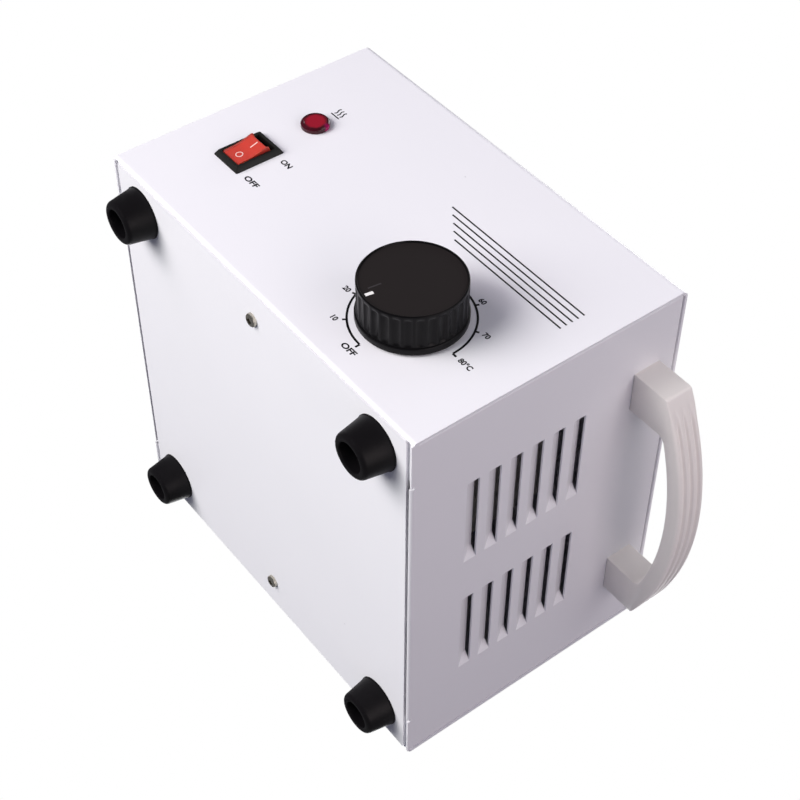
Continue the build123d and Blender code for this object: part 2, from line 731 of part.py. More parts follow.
# Rocker switch: bezel and housing through the front panel, the rocker on a pivot inside, two tabs.
with BuildPart() as switch_housing:
    with BuildSketch(Plane.XZ.offset(-front_y)) as bezel_foot:
        with Locations((switch_x, switch_z)):
            Rectangle(bezel_w, bezel_l)
    with BuildSketch(Plane.XZ.offset(-front_y + bezel_t)) as bezel_top:
        with Locations((switch_x, switch_z)):
            Rectangle(bezel_w - 2 * bezel_slope, bezel_l - 2 * bezel_slope)
    loft()
    with BuildSketch(Plane.XZ.offset(-front_y)) as housing_block:
        with Locations((switch_x, switch_z)):
            Rectangle(switch_body_w, switch_body_l)
    extrude(amount=-switch_body_d - sheet)
    with BuildSketch(Plane.XZ.offset(-front_y + bezel_t)) as housing_window:
        with Locations((switch_x, switch_z)):
            Rectangle(window_w, window_l)
    extrude(amount=-bezel_t - sheet - switch_body_d + switch_floor, mode=Mode.SUBTRACT)
    with BuildSketch(Plane.YZ.offset(switch_x - window_w / 2 - rocker_pin_len)) as housing_pivot:
        with Locations((front_y + rocker_pivot, switch_z)):
            Circle(rocker_pin_r + rocker_pin_clear)
    extrude(amount=window_w + 2 * rocker_pin_len, mode=Mode.SUBTRACT)
save(switch_housing.part, "switch_housing")

rocker_side = rocker_half + rocker_flare
with BuildPart() as rocker:
    with BuildSketch(Plane.YZ.offset(switch_x - window_w / 2 + rocker_side_gap)) as rocker_profile:
        with BuildLine():
            Polyline(
                (front_y - rocker_top, switch_z - rocker_half),
                (front_y - rocker_top + rocker_dip, switch_z),
                (front_y - rocker_top, switch_z + rocker_half),
                (front_y + rocker_top, switch_z + rocker_side),
                (front_y + rocker_depth, switch_z + rocker_side / 2),
                (front_y + rocker_depth, switch_z - rocker_side / 2),
                (front_y + rocker_top, switch_z - rocker_side),
                close=True,
            )
        make_face()
    extrude(amount=window_w - 2 * rocker_side_gap)
    with BuildSketch(Plane.YZ.offset(switch_x - window_w / 2 - rocker_pin_len + rocker_pin_clear)):
        with Locations((front_y + rocker_pivot, switch_z)):
            Circle(rocker_pin_r)
    extrude(amount=window_w + 2 * rocker_pin_len - 2 * rocker_pin_clear)
rocker_axis = Axis((switch_x, front_y + rocker_pivot, switch_z), (1, 0, 0))
save(rocker.part.rotate(rocker_axis, rocker_tilt), "switch_rocker")

switch_back = front_y + sheet + switch_body_d
with BuildPart() as switch_tabs:
    with BuildSketch(Plane.XZ.offset(-switch_back)):
        with Locations((switch_x, switch_z + switch_way), (switch_x, switch_z - switch_way)):
            Rectangle(tab_w, tab_t)
    extrude(amount=-tab_len_free)
save(switch_tabs.part, "switch_tabs")

# Indicator lamp: red lens in front, body through the panel, spring nut behind it.
with BuildPart() as lamp_lens:
    with BuildSketch(Plane.XZ.offset(-front_y)):
        with Locations((lamp_x, lamp_z)):
            Circle(lamp_r)
    extrude(amount=lamp_h)
    chamfer(lamp_lens.faces().sort_by(Axis.Y)[0].edges(), lamp_chamfer)
save(lamp_lens.part, "lamp_lens")

lamp_back = front_y + sheet + lamp_body_len
with BuildPart() as lamp_body:
    with BuildSketch(Plane.XZ.offset(-front_y)):
        with Locations((lamp_x, lamp_z)):
            Circle(lamp_body_r)
    extrude(amount=-sheet - lamp_body_len)
save(lamp_body.part, "lamp_body")

with BuildPart() as lamp_nut:
    with BuildSketch(Plane.XZ.offset(-skin_y - touch / 2)):
        with Locations((lamp_x, lamp_z)):
            Circle(lamp_nut_r)
            Circle(lamp_body_r + touch, mode=Mode.SUBTRACT)
    extrude(amount=-lamp_nut_t)
save(lamp_nut.part, "lamp_nut")

# Well: a drawn aluminium tub whose rim lies on the top and is riveted to it.
with BuildPart() as well:
    with BuildSketch(Plane.XZ) as well_half:
        with BuildLine():
            Polyline(
                (0, well_low),
                (well_out, well_low),
                (well_out, top_z),
                (well_rim_r, top_z),
                (well_rim_r, well_rim_top),
                (well_r, well_rim_top),
                (well_r, well_low + well_wall),
                (0, well_low + well_wall),
                close=True,
            )
        make_face()
        corner = well_half.vertices().filter_by(lambda v: abs(v.X - well_out) + abs(v.Y - well_low) < touch)
        fillet(corner, 3 * well_wall)
        inner = well_half.vertices().filter_by(
            lambda v: abs(v.X - well_r) + abs(v.Y - well_low - well_wall) < touch)
        fillet(inner, 2 * well_wall)
        mouth = well_half.vertices().filter_by(lambda v: abs(v.X - well_r) + abs(v.Y - well_rim_top) < touch)
        fillet(mouth, well_rim_t * 3 / 4)
    revolve(axis=Axis.Z)
    with BuildSketch(Plane.XY.offset(top_z)) as well_rivet_holes:
        with PolarLocations(rivet_at, 4, start_angle=45):
            Circle(rivet_r + lap_gap)
    extrude(amount=2 * well_rim_t, mode=Mode.SUBTRACT)
save(Pos(0, mid_y, 0) * well.part, "heater_well")

with BuildPart() as rivets:
    for low, radius, tall in (
        (well_rim_top, rivet_head_r, rivet_head_h),
        (top_z - sheet - rivet_head_h, rivet_r, well_rim_t + sheet + rivet_head_h),
        (top_z - sheet - rivet_head_h, rivet_head_r, rivet_head_h),
    ):
        with BuildSketch(Plane.XY.offset(low)):
            with Locations((0, mid_y)):
                with PolarLocations(rivet_at, 4, start_angle=45):
                    Circle(radius)
        extrude(amount=tall)
    fillet(rivets.edges().filter_by(GeomType.CIRCLE).group_by(Axis.Z)[-1], rivet_head_h / 2)
save(rivets.part, "well_rivets")

# Heating band clamped round the well, with two lugs at its split and two tabs under its edge.
band_in = well_out + band_gap
band_out = band_in + band_t
band_z = well_low + band_low
lug_mid_z = band_z + band_h - lug_h / 2
with BuildPart() as band:
    with BuildSketch(Plane.XY.offset(band_z)):
        Circle(band_out)
        Circle(band_in, mode=Mode.SUBTRACT)
        with Locations((0, band_out)):
            Rectangle(band_split, band_out, mode=Mode.SUBTRACT)
    extrude(amount=band_h)
    with BuildSketch(Plane.XY.offset(lug_mid_z - lug_h / 2)):
        for sx in (-1, 1):
            with Locations((sx * (band_split + lug_t) / 2, band_in + (band_t + lug_out) / 2)):
                Rectangle(lug_t, band_t + lug_out)
    extrude(amount=lug_h)
    with BuildSketch(Plane.YZ.offset(-band_split)):
        with Locations((band_out + lug_out / 2, lug_mid_z)):
            Circle(lug_screw_r + lap_gap)
    extrude(amount=2 * band_split, mode=Mode.SUBTRACT)
    for sx in (-1, 1):
        turn = 90 + sx * band_tab_deg
        tab_at = Pos(0, 0, 0) * Rot(0, 0, turn) * Pos((band_in + band_out) / 2, 0, band_z)
        with BuildSketch(Plane(tab_at)):
            Rectangle(tab_t, tab_w)
        extrude(amount=-tab_len_free)
save(Pos(0, mid_y, 0) * band.part, "heating_band")

with BuildPart() as band_screw:
    with BuildSketch(Plane.YZ.offset(-band_split / 2 - lug_t)):
        with Locations((mid_y + band_out + lug_out / 2, lug_mid_z)):
            Circle(2 * lug_screw_r)
    extrude(amount=-2 * lug_t)
    with BuildSketch(Plane.YZ.offset(-band_split / 2 - lug_t)):
        with Locations((mid_y + band_out + lug_out / 2, lug_mid_z)):
            Circle(lug_screw_r)
    extrude(amount=band_split + 5 * lug_t)
save(band_screw.part, "band_screw")

with BuildPart() as band_nut:
    with BuildSketch(Plane.YZ.offset(band_split / 2 + lug_t)):
        with Locations((mid_y + band_out + lug_out / 2, lug_mid_z)):
            RegularPolygon(2 * lug_screw_r, 6)
            Circle(lug_screw_r + shaft_clear, mode=Mode.SUBTRACT)
    extrude(amount=2 * lug_t)
save(band_nut.part, "band_nut")

# Lagging round the band, open at the back for the lugs and tabs.
lag_in = band_out + lag_gap
lag_out = lag_in + lag_t
with BuildPart() as lagging:
    with BuildSketch(Plane.XY.offset(band_z - lag_under)):
        Circle(lag_out)
        Circle(lag_in, mode=Mode.SUBTRACT)
        with BuildLine():
            Polyline(
                (0, 0),
                (2 * lag_out * math.sin(math.radians(lag_open)), 2 * lag_out * math.cos(math.radians(lag_open))),
                (-2 * lag_out * math.sin(math.radians(lag_open)), 2 * lag_out * math.cos(math.radians(lag_open))),
                close=True,
            )
        make_face(mode=Mode.SUBTRACT)
    extrude(amount=lag_h)
save(Pos(0, mid_y, 0) * lagging.part, "lagging")

# Under the well: thermal cut-out and the thermostat's bulb, held up by one clip.
with BuildPart() as cutout:
    with BuildSketch(Plane.XY.offset(well_low - touch)):
        with Locations((cutout_x, mid_y)):
            Circle(cutout_r)
    extrude(amount=-cutout_h)
    with BuildSketch(Plane.XY.offset(well_low - touch - cutout_h / 2)):
        with Locations((cutout_x, mid_y)):
            Rectangle(tab_w, 2 * (cutout_r + cutout_tab))
    extrude(amount=-tab_t)
save(cutout.part, "thermal_cutout")

bulb_z = well_low - touch - bulb_r
with BuildPart() as bulb:
    with BuildSketch(Plane.XZ.offset(-mid_y + bulb_len / 2)):
        with Locations((bulb_x, bulb_z)):
            Circle(bulb_r)
    extrude(amount=-bulb_len)
    fillet(bulb.edges().filter_by(GeomType.CIRCLE), bulb_r / 2)
save(bulb.part, "sensing_bulb")

clip_top = well_low - touch - cutout_h - touch
with BuildPart() as clip:
    with BuildSketch(Plane.XY.offset(clip_top)):
        with Locations(((clip_half_l + clip_half_r) / 2, mid_y)):
            Rectangle(clip_half_r - clip_half_l, clip_w)
    extrude(amount=-clip_t)
    with BuildSketch(Plane.XY.offset(clip_top - clip_t)):
        with Locations((clip_half_l, mid_y), (clip_half_r, mid_y)):
            Rectangle(clip_t, clip_w)
    extrude(amount=well_low - clip_top + clip_t - touch / 2)
save(clip.part, "well_clip")


def tube(name, points, radius):
    """A round lead or pipe: straight runs joined by tangent arcs as large as the runs allow."""
    spots = [Vector(*p) for p in points]
    bends = []
    for before, at, after in zip(spots, spots[1:], spots[2:]):
        turn = math.radians((at - before).get_angle(after - at))
        shorter = min((at - before).length, (after - at).length)
        bends.append(0.45 * shorter / math.tan(turn / 2))
    print(name, "bend radii", [round(b, 1) for b in bends], "tube diameter", 2 * radius)
    with BuildPart() as run:
        with BuildLine() as path:
            FilletPolyline(*points, radius=bends)
        start = Plane(origin=path.line @ 0, z_dir=path.line % 0)
        with BuildSketch(start):
            Circle(radius)
        sweep()
    return run.part


bulb_front = mid_y - bulb_len / 2
save(tube("capillary_tube", [
    (bulb_x, bulb_front, bulb_z),
    (bulb_x, bulb_front - 14, bulb_z),
    (capillary_x, stat_back + 14, bulb_z),
    (capillary_x, stat_back, bulb_z),
], capillary_r), "capillary_tube")

# Mains inlet in the back panel: flanged socket, three flat pins, tabs behind, two countersunk screws.
inlet_face = back_y + inlet_flange_t
inlet_rear = back_y - inlet_body_d
inlet_pins = ((-inlet_pin_off, -inlet_pin_up), (0, inlet_pin_up), (inlet_pin_off, -inlet_pin_up))
with BuildPart() as inlet:
    with BuildSketch(Plane.XZ.offset(-inlet_face)) as inlet_front:
        with Locations((inlet_x, inlet_z)):
            RectangleRounded(inlet_flange_w, inlet_flange_h, 2 * inlet_flange_t)
    extrude(amount=inlet_flange_t)
    with BuildSketch(Plane.XZ.offset(-back_y)) as inlet_block:
        with Locations((inlet_x, inlet_z)):
            Rectangle(inlet_body_w, inlet_body_h)
    extrude(amount=inlet_body_d)
    with BuildSketch(Plane.XZ.offset(-inlet_face)) as inlet_hole:
        with Locations((inlet_x, inlet_z)):
            Rectangle(inlet_socket_w, inlet_socket_h)
        chamfer(inlet_hole.vertices().group_by(Axis.Y)[-1], inlet_socket_h / 4)
    extrude(amount=inlet_socket_d, mode=Mode.SUBTRACT)
    with BuildSketch(Plane.XZ.offset(-inlet_face)) as inlet_slots:
        for dx, dz in inlet_pins:
            with Locations((inlet_x + dx, inlet_z + dz)):
                Rectangle(inlet_pin_w, inlet_pin_l)
    extrude(amount=inlet_flange_t + inlet_body_d, mode=Mode.SUBTRACT)
    for sx in (-1, 1):
        with BuildSketch(Plane.XZ.offset(-inlet_face)):
            with Locations((inlet_x + sx * inlet_hole_pitch / 2, inlet_z)):
                Circle(inlet_screw_head + lap_gap)
        with BuildSketch(Plane.XZ.offset(-inlet_face + inlet_flange_t - sheet)):
            with Locations((inlet_x + sx * inlet_hole_pitch / 2, inlet_z)):
                Circle(inlet_screw_hole)
        loft(mode=Mode.SUBTRACT)
        with BuildSketch(Plane.XZ.offset(-inlet_face)):
            with Locations((inlet_x + sx * inlet_hole_pitch / 2, inlet_z)):
                Circle(inlet_screw_hole)
        extrude(amount=inlet_flange_t, mode=Mode.SUBTRACT)
save(inlet.part, "inlet_socket")

inlet_pin_tip = inlet_face - inlet_flange_t
inlet_tab_end = inlet_rear - tab_len_free
with BuildPart() as inlet_blades:
    with BuildSketch(Plane.XZ.offset(-inlet_pin_tip)):
        for dx, dz in inlet_pins:
            with Locations((inlet_x + dx, inlet_z + dz)):
                Rectangle(inlet_pin_w, inlet_pin_l)
    extrude(amount=inlet_pin_tip - inlet_tab_end)
save(inlet_blades.part, "inlet_pins")

with BuildPart() as inlet_screws:
    for sx in (-1, 1):
        with BuildSketch(Plane.XZ.offset(-inlet_face)):
            with Locations((inlet_x + sx * inlet_hole_pitch / 2, inlet_z)):
                Circle(inlet_screw_head)
        with BuildSketch(Plane.XZ.offset(-inlet_face + inlet_flange_t - sheet)):
            with Locations((inlet_x + sx * inlet_hole_pitch / 2, inlet_z)):
                Circle(inlet_screw_r)
        loft()
        with BuildSketch(Plane.XZ.offset(-inlet_face + inlet_flange_t - sheet)):
            with Locations((inlet_x + sx * inlet_hole_pitch / 2, inlet_z)):
                Circle(inlet_screw_r)
        extrude(amount=inlet_screw_len)
    with BuildSketch(Plane.XZ.offset(-inlet_face)):
        with Locations((inlet_x - inlet_hole_pitch / 2, inlet_z), (inlet_x + inlet_hole_pitch / 2, inlet_z)):
            Rectangle(inlet_screw_head, sheet / 2)
            Rectangle(sheet / 2, inlet_screw_head)
    extrude(amount=sheet / 2, mode=Mode.SUBTRACT)
save(inlet_screws.part, "inlet_screws")

# Terminal block and earth stud on the base plate.
block_y = mid_y + block_mid
with BuildPart() as block:
    with BuildSketch(Plane.XY.offset(plate_top + touch / 2)):
        with Locations((block_x, block_y)):
            Rectangle(block_w, block_l)
    extrude(amount=block_h)
    with BuildSketch(Plane.XY.offset(plate_top)):
        with Locations((block_x, block_y)):
            Circle(inlet_screw_hole)
    extrude(amount=2 * block_h, mode=Mode.SUBTRACT)
    with BuildSketch(Plane.XY.offset(plate_top + block_h / 2)):
        with Locations((block_x, block_y)):
            Rectangle(2 * sheet, block_l)
    extrude(amount=block_h, mode=Mode.SUBTRACT)
save(block.part, "terminal_block")

with BuildPart() as block_screw:
    with BuildSketch(Plane.XY.offset(plate_top + touch / 2)):
        with Locations((block_x, block_y)):
            Circle(inlet_screw_r)
    extrude(amount=block_h / 2)
    with BuildSketch(Plane.XY.offset(plate_top + block_h / 2 + touch)):
        with Locations((block_x, block_y)):
            Circle(inlet_screw_hole - lap_gap)
    extrude(amount=2 * sheet)
save(block_screw.part, "block_screw")

earth_y = back_y - earth_back
ring_z = plate_top + touch / 2
with BuildPart() as earth_stud:
    with BuildSketch(Plane.XY.offset(plate_top)):
        with Locations((earth_x, earth_y)):
            Circle(m4_r)
    extrude(amount=earth_len)
save(earth_stud.part, "earth_stud")

with BuildPart() as earth_nut:
    with BuildSketch(Plane.XY.offset(ring_z + ring_t + touch / 2)):
        with Locations((earth_x, earth_y)):
            RegularPolygon(m4_nut_r, 6)
            Circle(m4_r + shaft_clear, mode=Mode.SUBTRACT)
    extrude(amount=m4_nut_h)
save(earth_nut.part, "earth_nut")

with BuildPart() as earth_ring:
    with BuildSketch(Plane.XY.offset(ring_z)):
        with Locations((earth_x, earth_y)):
            Circle(ring_r)
            Circle(m4_hole_r, mode=Mode.SUBTRACT)
    extrude(amount=ring_t)
    with BuildSketch(Plane.YZ.offset(earth_x + ring_r - 2 * touch)):
        with Locations((earth_y, ring_z + lead_r + touch)):
            Rectangle(2 * (lead_r + touch), 2 * (lead_r + touch))
    extrude(amount=ring_crimp)
save(earth_ring.part, "earth_ring")

# Leads inside the case, each from terminal to terminal.
cutout_z = well_low - touch - cutout_h / 2 - tab_t / 2
band_tab_x = (band_in + band_out) / 2 * math.sin(math.radians(band_tab_deg))
band_tab_y = mid_y + (band_in + band_out) / 2 * math.cos(math.radians(band_tab_deg))
band_tab_z = band_z - tab_len_free
switch_tab = switch_back + tab_len_free
stat_lead_y = stat_tab_y + tab_t / 2
stat_lead_z = knob_z - stat_h / 2 - tab_len_free / 2
block_z = plate_top + block_h / 4 + 2 * lead_r
block_back = block_y + block_l / 2
block_front = block_y - block_l / 2
live_z = inlet_z - inlet_pin_up
ring_end = earth_x + ring_r - 2 * touch + ring_crimp
ring_mid_z = ring_z + lead_r + touch
save(tube("lead_live_in", [
    (inlet_x - inlet_pin_off, inlet_tab_end, live_z),
    (inlet_x - inlet_pin_off, inlet_tab_end - lead_out, live_z),
    (run_in - side_x, mid_y + 18.75, base_z + run_high),
    (run_in - side_x, mid_y - 11.25, base_z + run_high),
    (switch_x, switch_tab + 19, switch_z + switch_way),
    (switch_x, switch_tab, switch_z + switch_way),
], lead_r), "lead_live_in")
save(tube("lead_switched", [
    (switch_x, switch_tab, switch_z - switch_way),
    (switch_x, switch_tab + 13, switch_z - switch_way),
    (switch_x + 0.65, switch_tab + 16.75, base_z + run_mid),
    (switch_x + 24.65, switch_tab + 8.75, base_z + run_low),
    (switch_x + 60.65, stat_back + 9.7, base_z + run_low),
    (knob_x - stat_tab_off, stat_lead_y + 17, stat_lead_z),
    (knob_x - stat_tab_off, stat_lead_y, stat_lead_z),
], lead_r), "lead_switched")
save(tube("lead_heat_out", [
    (knob_x + stat_tab_off, stat_lead_y, stat_lead_z),
    (knob_x + stat_tab_off, stat_lead_y + 19, stat_lead_z),
    (knob_x - 9.2, stat_back + 27.7, base_z + run_under),
    (cutout_x + 20, stat_back + 29.7, base_z + run_mid),
    (cutout_x, mid_y - cutout_r - cutout_tab - 21, cutout_z),
    (cutout_x, mid_y - cutout_r - cutout_tab, cutout_z),
], lead_r), "lead_heat_out")
save(tube("lead_band", [
    (cutout_x, mid_y + cutout_r + cutout_tab, cutout_z),
    (cutout_x, mid_y + cutout_r + cutout_tab + 12, cutout_z),
    (cutout_x + 0.5, mid_y + 38.75, base_z + run_under),
    (-band_tab_x, band_tab_y, base_z + run_under),
    (-band_tab_x, band_tab_y, band_tab_z),
], lead_r), "lead_band")
save(tube("lead_neutral", [
    (band_tab_x, band_tab_y, band_tab_z),
    (band_tab_x, band_tab_y, band_tab_z - 19),
    (block_x + 30, mid_y + 52.75, base_z + run_floor),
    (block_x + block_way, block_back + 20, block_z),
    (block_x + block_way, block_back, block_z),
], lead_r), "lead_neutral")
save(tube("lead_neutral_in", [
    (inlet_x + inlet_pin_off, inlet_tab_end, live_z),
    (inlet_x + inlet_pin_off, inlet_tab_end - 14.5, live_z),
    (block_x - block_way, block_back + lead_out, block_z),
    (block_x - block_way, block_back, block_z),
], lead_r), "lead_neutral_in")
save(tube("lead_earth", [
    (inlet_x, inlet_tab_end, inlet_z + inlet_pin_up),
    (inlet_x, inlet_tab_end - 15, inlet_z + inlet_pin_up),
    (ring_end + 13, earth_y, base_z + run_mid),
    (ring_end + 9.5, earth_y, ring_mid_z),
    (ring_end, earth_y, ring_mid_z),
], lead_r), "lead_earth")
lamp_pair = []
for k, way, high_x, low_x, run_y in ((-1, -block_way, lamp_x + 7.1, block_x - 8, front_y + 40.75),
                                     (1, block_way, lamp_x + 15.1, block_x - 2, front_y + 36.75)):
    lamp_pair.append(tube("lamp_leads", [
        (lamp_x + 2 * k, lamp_back, lamp_z),
        (lamp_x + 2 * k, lamp_back + 14, lamp_z),
        (high_x, run_y, base_z + lamp_run_high),
        (low_x, run_y, base_z + run_high),
        (block_x + way, block_front - 22, block_z),
        (block_x + way, block_front, block_z),
    ], lead_r))
save(Compound(children=lamp_pair), "lamp_leads")

# Wax pot: a drawn aluminium can whose rim hangs on the well's rim, with two ears for its bail.
ear_mid = pot_rim_r - ear_t / 2 - bail_end_gap
bail_r = ear_mid - ear_t / 2 - bail_end_gap - bail_wire
bail_z = pot_top + bail_seat + bail_wire
with BuildPart() as pot:
    with BuildSketch(Plane.XZ) as pot_half:
        with BuildLine():
            Polyline(
                (0, pot_low),
                (pot_r, pot_low),
                (pot_r, well_rim_top),
                (pot_rim_r, well_rim_top),
                (pot_rim_r, pot_top),
                (pot_r - pot_wall, pot_top),
                (pot_r - pot_wall, pot_low + pot_wall),
                (0, pot_low + pot_wall),
                close=True,
            )
        make_face()
        pot_corner = pot_half.vertices().filter_by(lambda v: abs(v.X - pot_r) + abs(v.Y - pot_low) < touch)
        fillet(pot_corner, 4 * pot_wall)
        pot_inner = pot_half.vertices().filter_by(
            lambda v: abs(v.X - pot_r + pot_wall) + abs(v.Y - pot_low - pot_wall) < touch)
        fillet(pot_inner, 3 * pot_wall)
        pot_edge = pot_half.vertices().filter_by(lambda v: abs(v.X - pot_rim_r) + abs(v.Y - pot_top) < touch)
        fillet(pot_edge, pot_rim_t / 2)
        pot_mouth = pot_half.vertices().filter_by(
            lambda v: abs(v.X - pot_r + pot_wall) + abs(v.Y - pot_top) < touch)
        fillet(pot_mouth, pot_rim_t / 2)
    revolve(axis=Axis.Z)
    for sx in (-1, 1):
        ear_plane = Plane.YZ.offset(sx * ear_mid - ear_t / 2)
        with BuildSketch(ear_plane):
            with Locations((0, pot_top - pot_rim_t / 2 + ear_h / 2)):
                Rectangle(ear_len, ear_h + pot_rim_t / 2)
        extrude(amount=ear_t)
        with BuildSketch(ear_plane):
            with Locations((0, bail_z)):
                Circle(bail_wire * 2 / 3 + bail_pin_clear)
        extrude(amount=ear_t, mode=Mode.SUBTRACT)
save(Pos(0, mid_y, 0) * pot.part, "wax_pot")

# Bail: half a ring of wire lying on the pot's rim behind the lid, its thinned ends in the ears.
with BuildPart() as bail:
    with BuildSketch(Plane.XZ):
        with Locations((bail_r, bail_z)):
            Circle(bail_wire)
    revolve(axis=Axis.Z, revolution_arc=180)
    with Locations((-bail_r, 0, bail_z), (bail_r, 0, bail_z)):
        Sphere(bail_wire)
    for sx in (-1, 1):
        with BuildSketch(Plane(origin=(sx * bail_r, 0, bail_z), x_dir=(0, 1, 0), z_dir=(sx, 0, 0))):
            Circle(bail_wire * 2 / 3)
        extrude(amount=ear_mid + ear_t / 2 + bail_end_gap - bail_r)
save(Pos(0, mid_y, 0) * bail.part, "pot_bail")

# Lid: a spun disc that lies on the pot's rim, with a locating ring inside the mouth, a knob and a screw.
lid_low = pot_top + lid_seat
lid_ring_out = pot_r - pot_wall - lid_ring_gap
lid_r = lid_ring_out + lid_lip
with BuildPart() as lid:
    with BuildSketch(Plane.XZ) as lid_half:
        with BuildLine():
            Line((0, lid_low + lid_edge_h + lid_rise), (0, lid_low + lid_edge_h + lid_rise - lid_t))
            Line((0, lid_low + lid_edge_h + lid_rise - lid_t), (lid_knob_r, lid_low + lid_edge_h + lid_rise - lid_t))
            ThreePointArc(
                (lid_knob_r, lid_low + lid_edge_h + lid_rise - lid_t),
                ((lid_knob_r + lid_ring_out) / 2, lid_low + lid_edge_h + lid_rise * 2 / 3 - lid_t),
                (lid_ring_out - lid_ring_t, lid_low + lid_t))
            Polyline(
                (lid_ring_out - lid_ring_t, lid_low + lid_t),
                (lid_ring_out - lid_ring_t, lid_low - lid_ring_h),
                (lid_ring_out, lid_low - lid_ring_h),
                (lid_ring_out, lid_low),
                (lid_r, lid_low),
                (lid_r, lid_low + lid_t),
                (lid_ring_out, lid_low + 2 * lid_t),
            )
            ThreePointArc(
                (lid_ring_out, lid_low + 2 * lid_t),
                ((lid_knob_r + lid_ring_out) / 2, lid_low + lid_edge_h + lid_rise * 2 / 3),
                (lid_knob_r, lid_low + lid_edge_h + lid_rise))
            Line((lid_knob_r, lid_low + lid_edge_h + lid_rise), (0, lid_low + lid_edge_h + lid_rise))
        make_face()
    revolve(axis=Axis.Z)
    with BuildSketch(Plane.XY.offset(lid_low)):
        Circle(lid_screw_r + lap_gap)
    extrude(amount=lid_edge_h + 2 * lid_rise, mode=Mode.SUBTRACT)
save(Pos(0, mid_y, 0) * lid.part, "lid")

lid_top = lid_low + lid_edge_h + lid_rise
with BuildPart() as lid_knob:
    with BuildSketch(Plane.XZ) as lid_knob_half:
        with BuildLine():
            Polyline(
                (0, lid_top),
                (lid_knob_neck + sheet, lid_top),
                (lid_knob_neck, lid_top + lid_knob_h / 3),
                (lid_knob_r - sheet, lid_top + lid_knob_h / 2),
                (lid_knob_r, lid_top + lid_knob_h * 2 / 3),
                (lid_knob_r * 3 / 4, lid_top + lid_knob_h * 14 / 15),
                (0, lid_top + lid_knob_h),
                close=True,
            )
        make_face()
        rounds = lid_knob_half.vertices().filter_by(
            lambda v: v.X > lid_knob_neck / 2 and v.Y > lid_top + lid_knob_h / 4)
        fillet(rounds, sheet)
    revolve(axis=Axis.Z)
    with BuildSketch(Plane.XY.offset(lid_top)):
        Circle(lid_screw_r + shaft_clear)
    extrude(amount=lid_screw_len - lid_t + touch, mode=Mode.SUBTRACT)
save(Pos(0, mid_y, 0) * lid_knob.part, "lid_knob")

with BuildPart() as lid_screw:
    with BuildSketch(Plane.XY.offset(lid_top - lid_t)):
        Circle(lid_screw_head_r)
    extrude(amount=-lid_screw_head_h)
    with BuildSketch(Plane.XY.offset(lid_top - lid_t)):
        Circle(lid_screw_r)
    extrude(amount=lid_screw_len)
save(Pos(0, mid_y, 0) * lid_screw.part, "lid_screw")
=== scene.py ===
import bmesh
import bpy
import numpy as np
from mathutils import Matrix, Vector


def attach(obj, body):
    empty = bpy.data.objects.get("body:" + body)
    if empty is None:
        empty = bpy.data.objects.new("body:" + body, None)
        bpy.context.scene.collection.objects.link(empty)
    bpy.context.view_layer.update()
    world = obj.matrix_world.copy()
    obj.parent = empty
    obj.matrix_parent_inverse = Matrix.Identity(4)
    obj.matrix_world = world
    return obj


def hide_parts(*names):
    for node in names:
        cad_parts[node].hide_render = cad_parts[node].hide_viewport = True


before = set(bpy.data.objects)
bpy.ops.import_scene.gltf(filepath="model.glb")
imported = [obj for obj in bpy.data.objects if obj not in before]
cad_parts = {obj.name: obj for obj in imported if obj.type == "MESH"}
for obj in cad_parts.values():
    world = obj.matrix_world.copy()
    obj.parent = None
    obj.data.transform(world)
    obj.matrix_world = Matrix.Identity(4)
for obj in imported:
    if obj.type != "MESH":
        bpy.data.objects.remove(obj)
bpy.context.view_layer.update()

# The viewpoint. The warmer is seen from below its front right corner, with its front turned up, the
# way a catalogue shows the controls, the feet and the louvred side together.
eye = bpy.data.cameras.new("eye")
eye.lens = 75.65
eye.sensor_width = 36.0
eye.clip_start = 0.01
viewpoint = bpy.data.objects.new("viewpoint", eye)
bpy.context.scene.collection.objects.link(viewpoint)
view_right = Vector((0.60669, -0.00477, 0.79493))
view_up = Vector((-0.5751, -0.693, 0.43475))
view_back = Vector((0.54881, -0.72092, -0.42318))
eye_place = Vector((0.35792, -0.45588, -0.20158))
viewpoint.matrix_world = Matrix.Translation(eye_place) @ Matrix(
    (view_right, view_up, view_back)).transposed().to_4x4()
bpy.context.scene.camera = viewpoint
bpy.context.scene.view_settings.view_transform = "Standard"

# The white room. Its walls are plain white for the eye and through glass, the same all round, so the
# pale box stands on white as in a catalogue. On the object they are a faint bluish light, and what a
# glossy surface mirrors of them is a neutral grey.


def node(tree, kind, inputs=(), **settings):
    """Adds a shader node with its settings; each input is a value, or a socket that it is joined to."""
    made = tree.nodes.new(kind)
    for name, value in settings.items():
        setattr(made, name, value)
    for name, value in dict(inputs).items():
        if isinstance(value, bpy.types.NodeSocket):
            tree.links.new(value, made.inputs[name])
        else:
            made.inputs[name].default_value = value
    return made


def reckon(tree, operation, *values):
    """Adds a Math node on values or sockets, and gives its result."""
    return node(tree, "ShaderNodeMath", dict(enumerate(values)), operation=operation).outputs[0]


def mixed(tree, share, first, second):
    """Adds a mix of two colours, which is all second where share is 1, and gives its result."""
    return node(tree, "ShaderNodeMix", {0: share, 6: first, 7: second}, data_type="RGBA").outputs[2]


def distance(tree, where, point):
    """Adds the distance between a place and a point, and gives its result."""
    gap = node(tree, "ShaderNodeVectorMath", {0: where, 1: point}, operation="SUBTRACT")
    return node(tree, "ShaderNodeVectorMath", {0: gap.outputs[0]}, operation="LENGTH").outputs["Value"]


